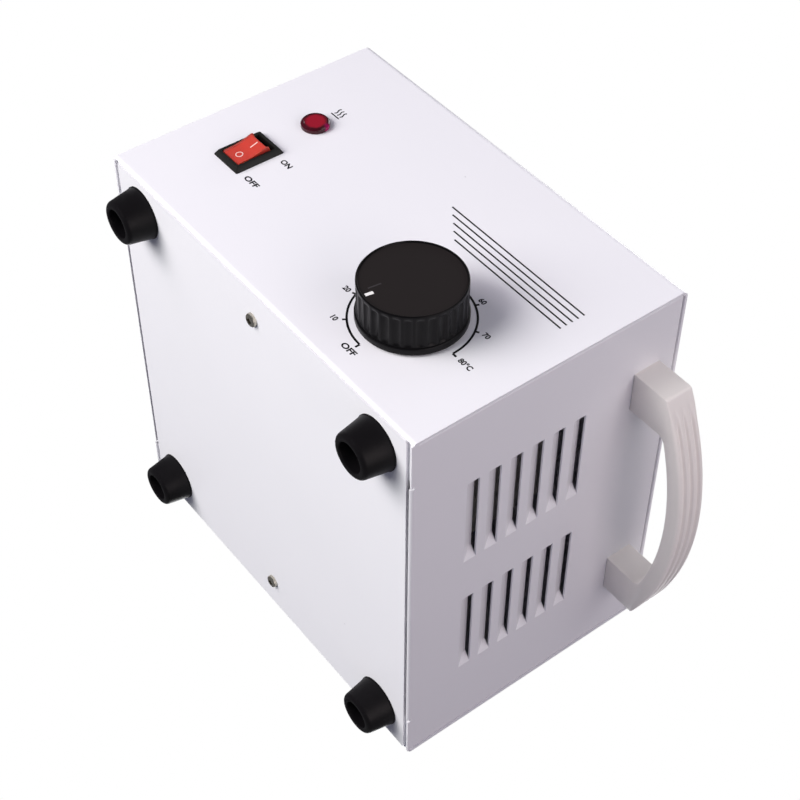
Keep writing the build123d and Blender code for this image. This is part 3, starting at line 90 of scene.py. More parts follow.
room = bpy.data.worlds.new("white_room")
bpy.context.scene.world = room
room.use_nodes = True
walls = room.node_tree
walls.nodes.clear()
air_level, mirror_extra = 0.15, 0.06
air_tint, mirror_tint = (0.62, 0.67, 1.0, 1.0), (0.95, 0.95, 1.0, 1.0)
ray = node(walls, "ShaderNodeLightPath").outputs
seen = reckon(walls, "MAXIMUM", ray["Is Camera Ray"], ray["Is Transmission Ray"])
level = reckon(walls, "MULTIPLY_ADD", ray["Is Glossy Ray"], mirror_extra, air_level)
air = mixed(walls, ray["Is Glossy Ray"], air_tint, mirror_tint)
soft = node(walls, "ShaderNodeBackground", {"Color": air, "Strength": level})
white = node(walls, "ShaderNodeBackground", {"Color": (1.0, 1.0, 1.0, 1.0)})
both = node(walls, "ShaderNodeMixShader", {0: seen, 1: soft.outputs[0], 2: white.outputs[0]})
node(walls, "ShaderNodeOutputWorld", {"Surface": both.outputs[0]})

# Six soft lamps: two in front and below on the left, one far out on the right and a small one close
# by the right side, one over the top and one behind, so that every side can be looked at. The two
# below are hidden from what mirrors, because their glint turned the left side white.
lamp_aim = Vector((0.0, 0.0, 0.07))


def softbox(name, place, side, power, tint, glint=True):
    """A square lamp at place, side metres wide, turned so that its face looks at lamp_aim; a lamp
    without glint isn't mirrored by what it lights."""
    lamp = bpy.data.lights.new(name, "AREA")
    lamp.size = side
    lamp.energy = power
    lamp.color = tint
    holder = bpy.data.objects.new(name, lamp)
    bpy.context.scene.collection.objects.link(holder)
    turn = (lamp_aim - Vector(place)).to_track_quat("-Z", "Y").to_matrix().to_4x4()
    holder.matrix_world = Matrix.Translation(place) @ turn
    holder.visible_camera = False
    holder.visible_glossy = glint


softbox("lamp_low", (-0.45, -0.85, -1.05), 1.0, 24.2, (1.0, 1.0, 0.97), glint=False)
softbox("lamp_left", (-0.72, -0.98, -0.72), 1.0, 8.6, (1.0, 0.90, 0.98), glint=False)
softbox("lamp_right", (1.3, -0.35, 0.1), 1.0, 6.9, (1.0, 0.88, 0.895))
softbox("lamp_near", (0.38, -0.36, 0.33), 0.3, 0.5, (1.0, 0.985, 0.98))
softbox("lamp_top", (-0.35, 0.05, 1.35), 0.9, 10.0, (1.0, 0.99, 0.98))
softbox("lamp_back", (-0.42, 1.3, 0.5), 0.9, 11.0, (0.98, 0.99, 1.0))

# The table top: a pale round sheet that fades out towards its rim. It is one-sided, because the box
# is also looked at from below.
table_r, fade_from, fade_to = 2.2, 0.45, 1.9
upright = (0.0, 0.0, 1.0)


def place_piece(name, mesh, crease=0.6):
    """Makes an object of a mesh: merged, turned outwards, smooth but for edges over the crease angle."""
    form = bmesh.new()
    form.from_mesh(mesh)
    bmesh.ops.remove_doubles(form, verts=form.verts, dist=1e-6)
    bmesh.ops.recalc_face_normals(form, faces=form.faces)
    form.to_mesh(mesh)
    form.free()
    mesh.shade_smooth()
    mesh.set_sharp_from_angle(angle=crease)
    piece = bpy.data.objects.new(name, mesh)
    bpy.context.scene.collection.objects.link(piece)
    return piece


def skin(name, *stacks, ends="flat", crease=0.6):
    """Skins stacks of closed outlines, each an array of rows × points × 3: row i is joined to row i + 1,
    and the end rows are closed flat, left open, or joined to each other (flat, open, loop)."""
    points, faces, start = [], [], 0
    for stack in stacks:
        rows, count = stack.shape[:2]
        last = rows if ends == "loop" else rows - 1
        i, j = np.meshgrid(np.arange(last), np.arange(count), indexing="ij")
        k, l = (i + 1) % rows, (j + 1) % count
        quads = np.stack([i * count + j, i * count + l, k * count + l, k * count + j], axis=-1)
        faces += (quads.reshape(-1, 4) + start).tolist()
        if ends == "flat":
            for row in (0, rows - 1):
                if np.ptp(stack[row], axis=0).max() > 1e-6:
                    faces.append((start + row * count + np.arange(count)).tolist())
        points.append(stack.reshape(-1, 3))
        start += rows * count
    mesh = bpy.data.meshes.new(name)
    mesh.from_pydata(np.concatenate(points).tolist(), [], faces)
    return place_piece(name, mesh, crease)


def turned(profile, centre, axis, count=96, dent=0.0):
    """Rows of a turned piece: the point (r, h) goes to centre + h·axis + (r - dent)·(u cos a + v sin a)."""
    axis = np.asarray(axis, float)
    u = np.cross(axis, upright if abs(axis[2]) < 0.9 else (1.0, 0.0, 0.0))
    u /= np.linalg.norm(u)
    v = np.cross(axis, u)
    a = np.linspace(0.0, 2.0 * np.pi, count, endpoint=False)
    spoke = np.cos(a)[:, None] * u + np.sin(a)[:, None] * v
    profile = np.asarray(profile, float)
    r = (profile[:, :1] - dent) * np.ones((1, count))
    return np.asarray(centre) + profile[:, 1][:, None, None] * axis + r[:, :, None] * spoke


table_disc = np.stack([np.linspace(0.0, table_r, 12), np.zeros(12)], axis=-1)
table_top = skin("table_top", turned(table_disc, (0.0, 0.0, 0.0), upright), ends="open")
if table_top.data.polygons[0].normal.z < 0.0:
    table_top.data.flip_normals()
paper = bpy.data.materials.new("table_paper")
paper.use_nodes = True
sheet = paper.node_tree
sheet.nodes.clear()
face = node(sheet, "ShaderNodeBsdfDiffuse", {"Color": (0.93, 0.93, 0.935, 1.0)})
clear = node(sheet, "ShaderNodeBsdfTransparent")
spot = node(sheet, "ShaderNodeTexCoord")
far = node(sheet, "ShaderNodeVectorMath", {0: spot.outputs["Object"]}, operation="LENGTH")
fade = node(sheet, "ShaderNodeMapRange", {
    "Value": far.outputs["Value"], "From Min": fade_from, "From Max": fade_to},
    interpolation_type="SMOOTHSTEP")
under = node(sheet, "ShaderNodeNewGeometry")
hide = reckon(sheet, "MAXIMUM", fade.outputs[0], under.outputs["Backfacing"])
blend = node(sheet, "ShaderNodeMixShader", {0: hide, 1: face.outputs[0], 2: clear.outputs[0]})
node(sheet, "ShaderNodeOutputMaterial", {"Surface": blend.outputs[0]})
table_top.data.materials.append(paper)
table_top.visible_shadow = False
table_top.visible_diffuse = False
table_top.visible_glossy = False
table_top.visible_transmission = False

# The case: one folded cover, two side pans and a flat base plate, all of thin steel sheet with a
# glossy white powder coat that levels out to a faint orange peel with a few specks of dust in it.


def texture_group(name, sockets):
    """A group with the named inputs, colours where the value is four numbers, and the outputs Color,
    Roughness and Normal; gives the group, its input sockets and its output sockets."""
    group = bpy.data.node_groups.new(name, "ShaderNodeTree")
    for label, value in sockets.items():
        kind = "NodeSocketFloat" if isinstance(value, float) else "NodeSocketColor"
        group.interface.new_socket(name=label, in_out="INPUT", socket_type=kind).default_value = value
    for label, kind in (("Color", "NodeSocketColor"), ("Roughness", "NodeSocketFloat"),
                        ("Normal", "NodeSocketVector")):
        group.interface.new_socket(name=label, in_out="OUTPUT", socket_type=kind)
    return group, group.nodes.new("NodeGroupInput").outputs, group.nodes.new("NodeGroupOutput").inputs


def give(group, made, colour, roughness, normal):
    """Joins a texture group's three results to its output sockets."""
    for label, result in (("Color", colour), ("Roughness", roughness), ("Normal", normal)):
        group.links.new(result, made[label])


def finish(name, group, values, constants=()):
    """A finish: a texture group with its own values, on a shader whose other sockets are set directly."""
    made = bpy.data.materials.new(name)
    made.use_nodes = True
    tree = made.node_tree
    shader = tree.nodes["Principled BSDF"]
    pattern = node(tree, "ShaderNodeGroup", {}, node_tree=group)
    for label, value in values.items():
        pattern.inputs[label].default_value = value
    for label, value in dict(constants).items():
        shader.inputs[label].default_value = value
    for label, socket in (("Color", "Base Color"), ("Roughness", "Roughness"), ("Normal", "Normal")):
        tree.links.new(pattern.outputs[label], shader.inputs[socket])
    return made


def dress(coat, *names):
    """Puts one finish on the named pieces of the frame."""
    for name in names:
        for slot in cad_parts[name].material_slots:
            slot.material = coat


coat_texture, given, made = texture_group("coat_texture", {
    "Base": (0.8, 0.8, 0.8, 1.0), "Drift": 0.03, "Peel": 700.0, "Depth": 0.000006,
    "Gloss": 0.34, "Spread": 0.1, "Specks": 0.3,
})
where = node(coat_texture, "ShaderNodeTexCoord").outputs["Object"]
slow = node(coat_texture, "ShaderNodeTexNoise", {"Vector": where, "Scale": 13.0, "Detail": 3.0})
fine = node(coat_texture, "ShaderNodeTexNoise", {"Vector": where, "Scale": given["Peel"], "Detail": 2.0})
smear = node(coat_texture, "ShaderNodeTexNoise", {"Vector": where, "Scale": 75.0, "Detail": 4.0})
dust = node(coat_texture, "ShaderNodeTexVoronoi", {"Vector": where, "Scale": 60.0})
speck = node(coat_texture, "ShaderNodeMapRange", {
    "Value": dust.outputs["Distance"], "From Min": 0.012, "From Max": 0.02, "To Min": 1.0, "To Max": 0.0})
sparse = node(coat_texture, "ShaderNodeSeparateColor", {0: dust.outputs["Color"]})
rare = reckon(coat_texture, "GREATER_THAN", sparse.outputs[0], 0.8)
dot = reckon(coat_texture, "MULTIPLY", speck.outputs[0], rare)
mark = reckon(coat_texture, "MULTIPLY", dot, given["Specks"])
wave = reckon(coat_texture, "SUBTRACT", slow.outputs["Fac"], 0.5)
tone = reckon(coat_texture, "MULTIPLY_ADD", wave, given["Drift"], 1.0)
dark = reckon(coat_texture, "SUBTRACT", tone, mark)
tint = node(coat_texture, "ShaderNodeVectorMath", {0: given["Base"], "Scale": dark}, operation="SCALE")
haze = reckon(coat_texture, "SUBTRACT", smear.outputs["Fac"], 0.5)
rough = reckon(coat_texture, "MULTIPLY_ADD", haze, given["Spread"], given["Gloss"])
peel = node(coat_texture, "ShaderNodeBump", {"Height": fine.outputs["Fac"], "Distance": given["Depth"]})
give(coat_texture, made, tint.outputs[0], rough, peel.outputs[0])

white_enamel = finish("white_enamel", coat_texture, {"Base": (0.86, 0.855, 0.88, 1.0), "Drift": 0.02})
pan_enamel = finish("pan_enamel", coat_texture, {"Base": (0.85, 0.845, 0.865, 1.0), "Gloss": 0.38})
dress(white_enamel, "cover")
dress(pan_enamel, "side_panel_right", "side_panel_left", "base_plate")

# Printed marks on the front: fine black lines, the dial's arc with its ticks and numbers, the words
# at the switch and a heat sign over the lamp. All of it is one thin film of screen ink.
front_y = -0.07875
ink_depth = 0.00004
stripe_end = 0.07672
stripe_starts = (0.00736, 0.01076, 0.01439, 0.01780, 0.02154)
stripe_levels = (0.09125, 0.08867, 0.08609, 0.08351, 0.08093)
stripe_width = 0.0006
dial_x, dial_z = 0.0432, 0.0459
dial_r = 0.02145
dial_line = 0.00078
dial_step = np.radians(33.75)
tick_len, end_tick_len, end_tick_shift = 0.0015, 0.0018, 0.0002
digit_h, digit_r = 0.0022, 0.0254
heat_x, heat_z, heat_line = -0.0600, 0.0902, 0.0005
wave_h, wave_swing, wave_gap = 0.0034, 0.00035, 0.0016
heat_bar_half, heat_bar_drop = 0.0024, 0.0009


def rounded(points, radii, steps=6, loop=False):
    """A polyline with its corners rounded: each becomes an arc of its radius that meets both sides, at
    centre + (sin((1 - t)·w)·start + sin(t·w)·end) / sin w, w being the arc's angle."""
    points = np.asarray(points, float)
    radii = np.broadcast_to(radii, len(points))
    parts = []
    for i, (corner, radius) in enumerate(zip(points, radii)):
        if radius == 0.0 or (not loop and i in (0, len(points) - 1)):
            parts.append(corner[None])
            continue
        back = points[i - 1] - corner
        ahead = points[(i + 1) % len(points)] - corner
        back, ahead = back / np.linalg.norm(back), ahead / np.linalg.norm(ahead)
        half = 0.5 * np.arccos(np.clip(back @ ahead, -1.0, 1.0))
        middle = (back + ahead) / np.linalg.norm(back + ahead) * radius / np.sin(half)
        reach, sweep = radius / np.tan(half), np.pi - 2.0 * half
        t = np.linspace(0.0, 1.0, steps + 1)[:, None]
        near, away = back * reach - middle, ahead * reach - middle
        arc = np.sin((1.0 - t) * sweep) * near + np.sin(t * sweep) * away
        parts.append(corner + middle + arc / np.sin(sweep))
    return np.concatenate(parts)


def rightward(steps):
    """The unit vectors to the right of an outline's steps."""
    return np.stack([steps[:, 1], -steps[:, 0]], axis=-1) / np.linalg.norm(steps, axis=1)[:, None]


def raised(outline, heights, place, inset=0.0):
    """Rows of a raised outline: the point s at step t goes to outline(s) - inset(t, s)·normal(s), at
    height(t), on the axes right, up and out of its place. The outline runs anticlockwise."""
    origin, right, up, out = (np.asarray(v, float) for v in place)
    outline = np.asarray(outline, float)
    before = rightward(outline - np.roll(outline, 1, axis=0))
    after = rightward(np.roll(outline, -1, axis=0) - outline)
    mitre = (before + after) / (1.0 + np.sum(before * after, axis=1))[:, None]
    heights = np.asarray(heights, float)
    inset = np.broadcast_to(inset, (len(heights), len(outline)))
    flat = outline[None] - inset[:, :, None] * mitre[None]
    return origin + flat[:, :, :1] * right + flat[:, :, 1:] * up + heights[:, None, None] * out


def strip(line, width):
    """The outline of a band of one width along an open line: its right side out, its left side back."""
    line = np.asarray(line, float)
    side = rightward(np.gradient(line, axis=0)) * width / 2.0
    return np.concatenate([line + side, (line - side)[::-1]])


def polar(radius, angle):
    """A point of the dial, the angle being clockwise from six o'clock as the dial is looked at."""
    return np.stack([dial_x - radius * np.sin(angle), dial_z - radius * np.cos(angle)], axis=-1)


def words(text, height, middle, width=None, bold=0.032):
    """The triangles of a short word or number as a mesh: flat type scaled to its height and width, pushed
    out by the ink's depth and set upright on the front around its middle."""
    type_curve = bpy.data.curves.new(text, "FONT")
    type_curve.body = text
    type_curve.offset = bold
    type_curve.extrude = 0.5
    type_curve.resolution_u = 4
    setter = bpy.data.objects.new(text, type_curve)
    mesh = bpy.data.meshes.new_from_object(setter)
    points = np.empty(len(mesh.vertices) * 3)
    mesh.vertices.foreach_get("co", points)
    points = points.reshape(-1, 3)
    low, high = points.min(axis=0), points.max(axis=0)
    tall = height / (high[1] - low[1])
    wide = tall if width is None else width / (high[0] - low[0])
    across = (points[:, 0] - (low[0] + high[0]) / 2.0) * wide + middle[0]
    upward = (points[:, 1] - (low[1] + high[1]) / 2.0) * tall + middle[1]
    outward = front_y - (points[:, 2] + 0.5) * ink_depth
    faces = [tuple(p.vertices) for p in mesh.polygons]
    bpy.data.objects.remove(setter)
    bpy.data.curves.remove(type_curve)
    bpy.data.meshes.remove(mesh)
    return np.stack([across, outward, upward], axis=-1), faces


def join_words(name, labels):
    """One piece of several labels, each a tuple of points and faces."""
    points, faces, start = [], [], 0
    for label_points, label_faces in labels:
        points.append(label_points)
        faces += [tuple(start + i for i in f) for f in label_faces]
        start += len(label_points)
    mesh = bpy.data.meshes.new(name)
    mesh.from_pydata(np.concatenate(points).tolist(), [], faces)
    return place_piece(name, mesh)


front_axes = ((1.0, 0.0, 0.0), upright, (0.0, -1.0, 0.0))
front = ((0.0, front_y, 0.0), *front_axes)
ink_rise = (0.0, ink_depth)
lines = []
for start, height in zip(stripe_starts, stripe_levels):
    lines.append(raised(strip([(start, height), (stripe_end, height)], stripe_width), ink_rise, front))
dial_turn = np.linspace(0.0, 8.0 * dial_step, 120)
lines.append(raised(strip(polar(dial_r, dial_turn), dial_line), ink_rise, front))
for tens in range(1, 8):
    tick = polar(np.array([dial_r, dial_r + tick_len]), tens * dial_step)
    lines.append(raised(strip(tick, dial_line), ink_rise, front))
off_x, off_z = dial_x + end_tick_shift, dial_z - dial_r
hot_x, hot_z = dial_x + dial_r, dial_z - end_tick_shift
for tick in ([(off_x, off_z), (off_x, off_z - end_tick_len)],
             [(hot_x, hot_z), (hot_x + end_tick_len, hot_z)]):
    lines.append(raised(strip(tick, dial_line), ink_rise, front))
front_lines = skin("front_lines", *lines)

labels = [
    words("OFF", 0.0024, (0.0430, 0.0204), 0.0068), words("10", digit_h, (0.0283, 0.0253)),
    words("20", digit_h, (0.0195, 0.0368)), words("60", digit_h, (0.0515, 0.0689)),
    words("70", digit_h, (0.0649, 0.0595)), words("80°C", 0.0023, (0.0710, 0.0459)),
]
for tens in (3, 4, 5):
    labels.append(words(f"{tens}0", digit_h, polar(digit_r, tens * dial_step)))
labels.append(words("ON", 0.0024, (-0.04725, 0.0585), 0.0053))
labels.append(words("OFF", 0.0025, (-0.0464, 0.04295), 0.0074))
front_words = join_words("front_words", labels)

wave_z = np.linspace(0.0, wave_h, 24)
heat = []
for offset in (-wave_gap, 0.0, wave_gap):
    wave_x = heat_x + offset + wave_swing * np.sin(wave_z / wave_h * 2.0 * np.pi)
    heat.append(raised(strip(np.stack([wave_x, heat_z + wave_z], axis=-1), heat_line), ink_rise, front))
bar_z = heat_z - heat_bar_drop
heat_bar = strip([(heat_x - heat_bar_half, bar_z), (heat_x + heat_bar_half, bar_z)], heat_line)
heat.append(raised(heat_bar, ink_rise, front))
heat_sign = skin("heat_sign", *heat)

ink = finish("screen_ink", coat_texture, {
    "Base": (0.005, 0.0045, 0.0055, 1.0), "Drift": 0.3, "Peel": 2500.0, "Gloss": 0.5, "Specks": 0.0},
    {"Specular IOR Level": 0.2})
for piece in (front_lines, front_words, heat_sign):
    piece.data.materials.append(ink)
    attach(piece, "case_body")

# Rubber feet: black tapered bumpers with a deep bore for the screw, moulded with a thin lip against
# the base plate and a soft round at the tip.
foot_x, foot_front_y, foot_back_y = 0.0705, -0.06465, 0.07915
foot_h, foot_lip, foot_neck, foot_floor = 0.011, 0.0004, 0.0006, 0.008
foot_tip_r, foot_wall_r, foot_lip_r = 0.0083, 0.0100, 0.01025
foot_bore_r, foot_hole_r = 0.0056, 0.0021
foot_profile = rounded([
    (foot_hole_r, foot_floor), (foot_bore_r, foot_floor), (foot_bore_r, 0.0), (foot_tip_r, 0.0),
    (foot_wall_r, foot_h - foot_neck), (foot_lip_r, foot_h - foot_lip), (foot_lip_r, foot_h),
    (foot_hole_r, foot_h)], (0.0, 0.0003, 0.0006, 0.0018, 0.0003, 0.0001, 0.0001, 0.0), loop=True)
foot_rubber = finish("foot_rubber", coat_texture, {
    "Base": (0.0042, 0.0037, 0.0044, 1.0), "Drift": 0.35, "Peel": 1400.0, "Depth": 0.00003,
    "Gloss": 0.46, "Spread": 0.25, "Specks": -0.4}, {"Specular IOR Level": 0.16})
for name, x, y in (("left_front", -foot_x, foot_front_y), ("left_back", -foot_x, foot_back_y),
                   ("right_front", foot_x, foot_front_y), ("right_back", foot_x, foot_back_y)):
    bumper = skin("rubber_foot_" + name, turned(foot_profile, (x, y, 0.0), upright), ends="loop")
    bumper.data.materials.append(foot_rubber)
    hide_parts("foot_" + name)
    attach(bumper, "case_body")

# Screws, washers and nuts: pressed steel, plated with zinc. The two base screws and the earth stud
# with its nut and ring carry a yellowish chromate over it. Pins and tabs are of brass.
plate_texture, given, made = texture_group("plate_texture", {
    "Light": (0.7, 0.7, 0.7, 1.0), "Dark": (0.5, 0.5, 0.5, 1.0), "Patch": 220.0,
    "Gloss": 0.3, "Spread": 0.25, "Scratch": 0.000004,
})
where = node(plate_texture, "ShaderNodeTexCoord").outputs["Object"]
patch = node(plate_texture, "ShaderNodeTexNoise", {"Vector": where, "Scale": given["Patch"], "Detail": 5.0})
stretch = node(plate_texture, "ShaderNodeMapping", {"Vector": where, "Scale": (300.0, 2200.0, 900.0)})
hair = node(plate_texture, "ShaderNodeTexNoise", {"Vector": stretch.outputs[0], "Scale": 1.0, "Detail": 3.0})
patches = mixed(plate_texture, patch.outputs["Fac"], given["Dark"], given["Light"])
haze = reckon(plate_texture, "SUBTRACT", patch.outputs["Fac"], 0.5)
rough = reckon(plate_texture, "MULTIPLY_ADD", haze, given["Spread"], given["Gloss"])
score = node(plate_texture, "ShaderNodeBump", {"Height": hair.outputs["Fac"], "Distance": given["Scratch"]})
give(plate_texture, made, patches, rough, score.outputs[0])

yellow_zinc = finish("yellow_zinc", plate_texture, {
    "Light": (0.70, 0.66, 0.54, 1.0), "Dark": (0.42, 0.40, 0.37, 1.0), "Patch": 500.0}, {"Metallic": 1.0})
bright_zinc = finish("bright_zinc", plate_texture, {
    "Light": (0.72, 0.72, 0.73, 1.0), "Dark": (0.52, 0.52, 0.53, 1.0)}, {"Metallic": 1.0})
dress(yellow_zinc, "base_screws", "earth_stud", "earth_nut", "earth_ring")
dress(bright_zinc, "foot_screws", "foot_washers", "foot_nuts", "handle_screws", "handle_washers",
      "thermostat_screws", "inlet_screws", "band_screw", "band_nut", "block_screw", "lid_screw", "lamp_nut",
      "well_clip", "thermostat_shaft")
brass_plate = finish("brass_plate", plate_texture, {
    "Light": (0.80, 0.66, 0.35, 1.0), "Dark": (0.62, 0.48, 0.25, 1.0)}, {"Metallic": 1.0})
dress(brass_plate, "inlet_pins", "switch_tabs", "thermostat_tabs")

# Carrying handles: one warm pale moulding each, an arched strap with soft grooves outside on two
# block feet, screwed on from inside the case.
strap_half, foot_len, foot_out, strap_reach, strap_t = 0.0584, 0.0173, 0.0156, 0.0304, 0.0063
pan_x, middle_y, handle_low, handle_w = 0.0883, 0.00725, 0.1065, 0.012
block_round, inner_round, outer_end, inner_end = 0.0016, 0.0035, 0.0025, 0.0045
rim_r, rim_extra, rim_band = 0.0004, 0.0009, 0.0014
groove_gap, groove_half, groove_deep = 0.0033, 0.00125, 0.00085
groove_free, groove_fade = 0.003, 0.010
block_slack, arc_slack = 0.0005, 0.0006
rise = strap_reach - foot_out
arc_r = (strap_half ** 2 + rise ** 2) / (2.0 * rise)
arc_x = strap_reach - arc_r
inner_half = strap_half - foot_len
inner_r = arc_r - strap_t
outer_y = np.linspace(outer_end - strap_half, strap_half - outer_end, 81)
inner_y = np.linspace(inner_half - inner_end, inner_end - inner_half, 41)
inner_x = arc_x + np.sqrt(inner_r ** 2 - inner_half ** 2)
plan = [(0.0, -strap_half), (foot_out, -strap_half)]
plan += [(arc_x + np.sqrt(arc_r ** 2 - y * y), y) for y in outer_y]
plan += [(foot_out, strap_half), (0.0, strap_half), (0.0, inner_half), (inner_x, inner_half)]
plan += [(arc_x + np.sqrt(inner_r ** 2 - y * y), y) for y in inner_y]
plan += [(inner_x, -inner_half), (0.0, -inner_half)]
plan_r = [0.0, block_round] + [0.0] * len(outer_y) + [block_round, 0.0, 0.0, inner_round]
plan_r += [0.0] * len(inner_y) + [inner_round, 0.0]
plan = rounded(plan, plan_r, steps=8, loop=True)
handle_level = np.unique(np.concatenate([
    np.linspace(0.0, rim_band, 8), np.linspace(rim_band, handle_w - rim_band, 64),
    np.linspace(handle_w - rim_band, handle_w, 8)]).round(7))
past_block = plan[:, 0] > foot_out - block_slack
on_arc = np.hypot(plan[:, 0] - arc_x, plan[:, 1]) > arc_r - arc_slack
end_far = strap_half - np.abs(plan[:, 1])
ribbed = (past_block & on_arc) * np.clip((end_far - groove_free) / groove_fade, 0.0, 1.0)
ribbed = ribbed * ribbed * (3.0 - 2.0 * ribbed)
rim = rim_r + rim_extra * ribbed
from_face = np.minimum(handle_level, handle_w - handle_level)[:, None]
short = np.clip(rim[None] - from_face, 0.0, None)
rim_inset = rim[None] - np.sqrt(np.clip(rim[None] ** 2 - short ** 2, 0.0, None))
grooves = np.zeros_like(handle_level)
for k in (-1, 0, 1):
    off = np.clip(np.abs(handle_level - handle_w / 2.0 - k * groove_gap) / groove_half, 0.0, 1.0)
    grooves = grooves + groove_deep * np.cos(off * np.pi / 2.0) ** 2
handle_inset = rim_inset + grooves[:, None] * ribbed[None]
handle_grey = finish("handle_grey", coat_texture, {
    "Base": (0.93, 0.885, 0.835, 1.0), "Drift": 0.06, "Peel": 900.0, "Depth": 0.000008,
    "Gloss": 0.42, "Spread": 0.12, "Specks": 0.15})
for side, name in ((1.0, "right"), (-1.0, "left")):
    place = ((side * pan_x, middle_y, handle_low), (side, 0.0, 0.0), (0.0, 1.0, 0.0), upright)
    grip = skin("grip_" + name, raised(plan, handle_level, place, handle_inset))
    grip.data.materials.append(handle_grey)
    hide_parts("handle_" + name)
    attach(grip, "case_body")

# Control knob: a hollow black moulding pushed on the shaft. Thirty shallow flutes run between a plain
# band at its foot and a plain rim, and its flat top carries a filled white mark.
knob_r, knob_top, knob_back, knob_face = 0.0185, 0.017, 0.0008, 0.0165
knob_roof, knob_hole_end = 0.014, 0.0124
knob_hole_r, knob_boss_r, knob_hollow_r = 0.00305, 0.006, 0.0165
skirt_r, skirt_h, band_h = 0.0191, 0.0034, 0.0036
rim_top_r, rim_foot_r, face_r = 0.0179, 0.0177, 0.0170
flute_count, flute_r, flute_in = 30, 0.0026, 0.0005
flute_low, flute_high, flute_runout = 0.0037, 0.0156, 0.0009
knob_wall = np.stack([np.full(40, knob_r), np.linspace(flute_low, flute_high, 40)], axis=-1)
knob_profile = np.concatenate([
    [(0.0, knob_hole_end), (knob_hole_r, knob_hole_end)],
    rounded([(knob_hole_r, knob_hole_end), (knob_hole_r, knob_back), (knob_boss_r, knob_back),
             (knob_boss_r, knob_roof), (knob_hollow_r, knob_roof), (knob_hollow_r, knob_back),
             (skirt_r, knob_back), (skirt_r, skirt_h), (knob_r, band_h), knob_wall[0]],
            (0.0, 0.0002, 0.0002, 0.0005, 0.0005, 0.0002, 0.0003, 0.0005, 0.0001, 0.0), steps=4)[1:-1],
    knob_wall,
    rounded([knob_wall[-1], (knob_r, knob_top), (rim_top_r, knob_top), (rim_foot_r, knob_face),
             (face_r, knob_face)], (0.0, 0.0004, 0.0001, 0.0001, 0.0), steps=5)[1:],
    [(r, knob_face) for r in (0.013, 0.009, 0.005, 0.0)],
])
turn = np.linspace(0.0, 2.0 * np.pi, flute_count * 18, endpoint=False)
along = (turn * flute_count / (2.0 * np.pi) % 1.0 - 0.5) * 2.0 * np.pi * knob_r / flute_count
flute = np.clip(np.sqrt(np.clip(flute_r ** 2 - along ** 2, 0.0, None)) - (flute_r - flute_in), 0.0, None)
h = knob_profile[:, 1]
on_wall = knob_profile[:, 0] > knob_r - 0.0001
fluted = on_wall * np.clip((h - flute_low) / flute_runout, 0.0, 1.0)
fluted = fluted * np.clip((flute_high - h) / flute_runout, 0.0, 1.0)
dent = np.sqrt(fluted)[:, None] * flute[None]
knob_skin = turned(knob_profile, (dial_x, front_y, dial_z), (0.0, -1.0, 0.0), len(turn), dent)
dial_knob = skin("dial_knob", knob_skin, crease=0.8)
knob_black = finish("knob_black", coat_texture, {
    "Base": (0.0028, 0.0026, 0.0030, 1.0), "Drift": 0.2, "Peel": 1800.0, "Depth": 0.000008,
    "Gloss": 0.30, "Spread": 0.12, "Specks": -0.3}, {"Specular IOR Level": 0.13})
# The flat face has its own copy of the black, rougher and with a lighter base: partly a matt finish, partly
# painted light that keeps the face lighter than the sides.
knob_matt_and_painted_light = finish("knob_matt_and_painted_light", coat_texture, {
    "Base": (0.0135, 0.0107, 0.0105, 1.0), "Drift": 0.25, "Peel": 1800.0, "Depth": 0.000008,
    "Gloss": 0.55, "Spread": 0.12, "Specks": -0.2}, {"Specular IOR Level": 0.3})
dial_knob.data.materials.append(knob_black)
dial_knob.data.materials.append(knob_matt_and_painted_light)
for polygon in dial_knob.data.polygons:
    if polygon.center.y < front_y - knob_face + 0.00001 and polygon.normal.y < -0.99:
        polygon.material_index = 1
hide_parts("knob")
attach(dial_knob, "knob_body")

# The knob's marks, thin films on its matt face: the filled white mark by its rim and a grey scribed
# line.
scribe_from, scribe_to, scribe_w = (0.0381, 0.0318), (0.0388, 0.0366), 0.0006
mark_in_r, mark_out_r, mark_w, mark_angle = 0.0141, 0.0170, 0.00125, np.radians(10.1)
scribe_rise = (knob_face - 0.00001, knob_face + 0.00003)
mark_rise = (knob_face - 0.00005, knob_face + 0.00015)
scribe_line = strip([scribe_from, scribe_to], scribe_w)
knob_scribe = skin("knob_scribe", raised(scribe_line, scribe_rise, front))
mark_line = strip(polar(np.array([mark_in_r, mark_out_r]), mark_angle), mark_w)
knob_mark = skin("knob_mark", raised(mark_line, mark_rise, front))
scribe_grey = finish("scribe_grey", coat_texture, {
    "Base": (0.034, 0.030, 0.032, 1.0), "Drift": 0.3, "Peel": 2500.0, "Gloss": 0.45, "Specks": 0.0})
knob_scribe.data.materials.append(scribe_grey)
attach(knob_scribe, "knob_body")
mark_white = finish("mark_white", coat_texture, {
    "Base": (0.86, 0.855, 0.83, 1.0), "Drift": 0.1, "Peel": 2500.0, "Gloss": 0.4, "Specks": 0.2})
knob_mark.data.materials.append(mark_white)
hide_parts("knob_pointer")
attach(knob_mark, "knob_body")

# Rocker switch: a black nylon housing with a bevelled bezel, clipped in the front, and a translucent
# red rocker that pivots in it, with a filled bar and ring on its two ends.
switch_x, switch_z = -0.06065, 0.0513
rocker_w, rocker_half, rocker_mid, rocker_end, pivot_in = 0.01, 0.0063, 0.0067, 0.0074, 0.005
fill_rise = (-0.0002, 0.00003)
ring_in_r, ring_out_r, ring_along = 0.00108, 0.00145, -0.00284
bar_across, bar_from, bar_to, bar_w = -0.0001, 0.0021, 0.0054, 0.00045


def oblong(width, length, radius, steps=5):
    """A rectangle with round corners around the middle, anticlockwise."""
    w, l = width / 2.0, length / 2.0
    return rounded([(-w, -l), (w, -l), (w, l), (-w, l)], radius, steps, loop=True)


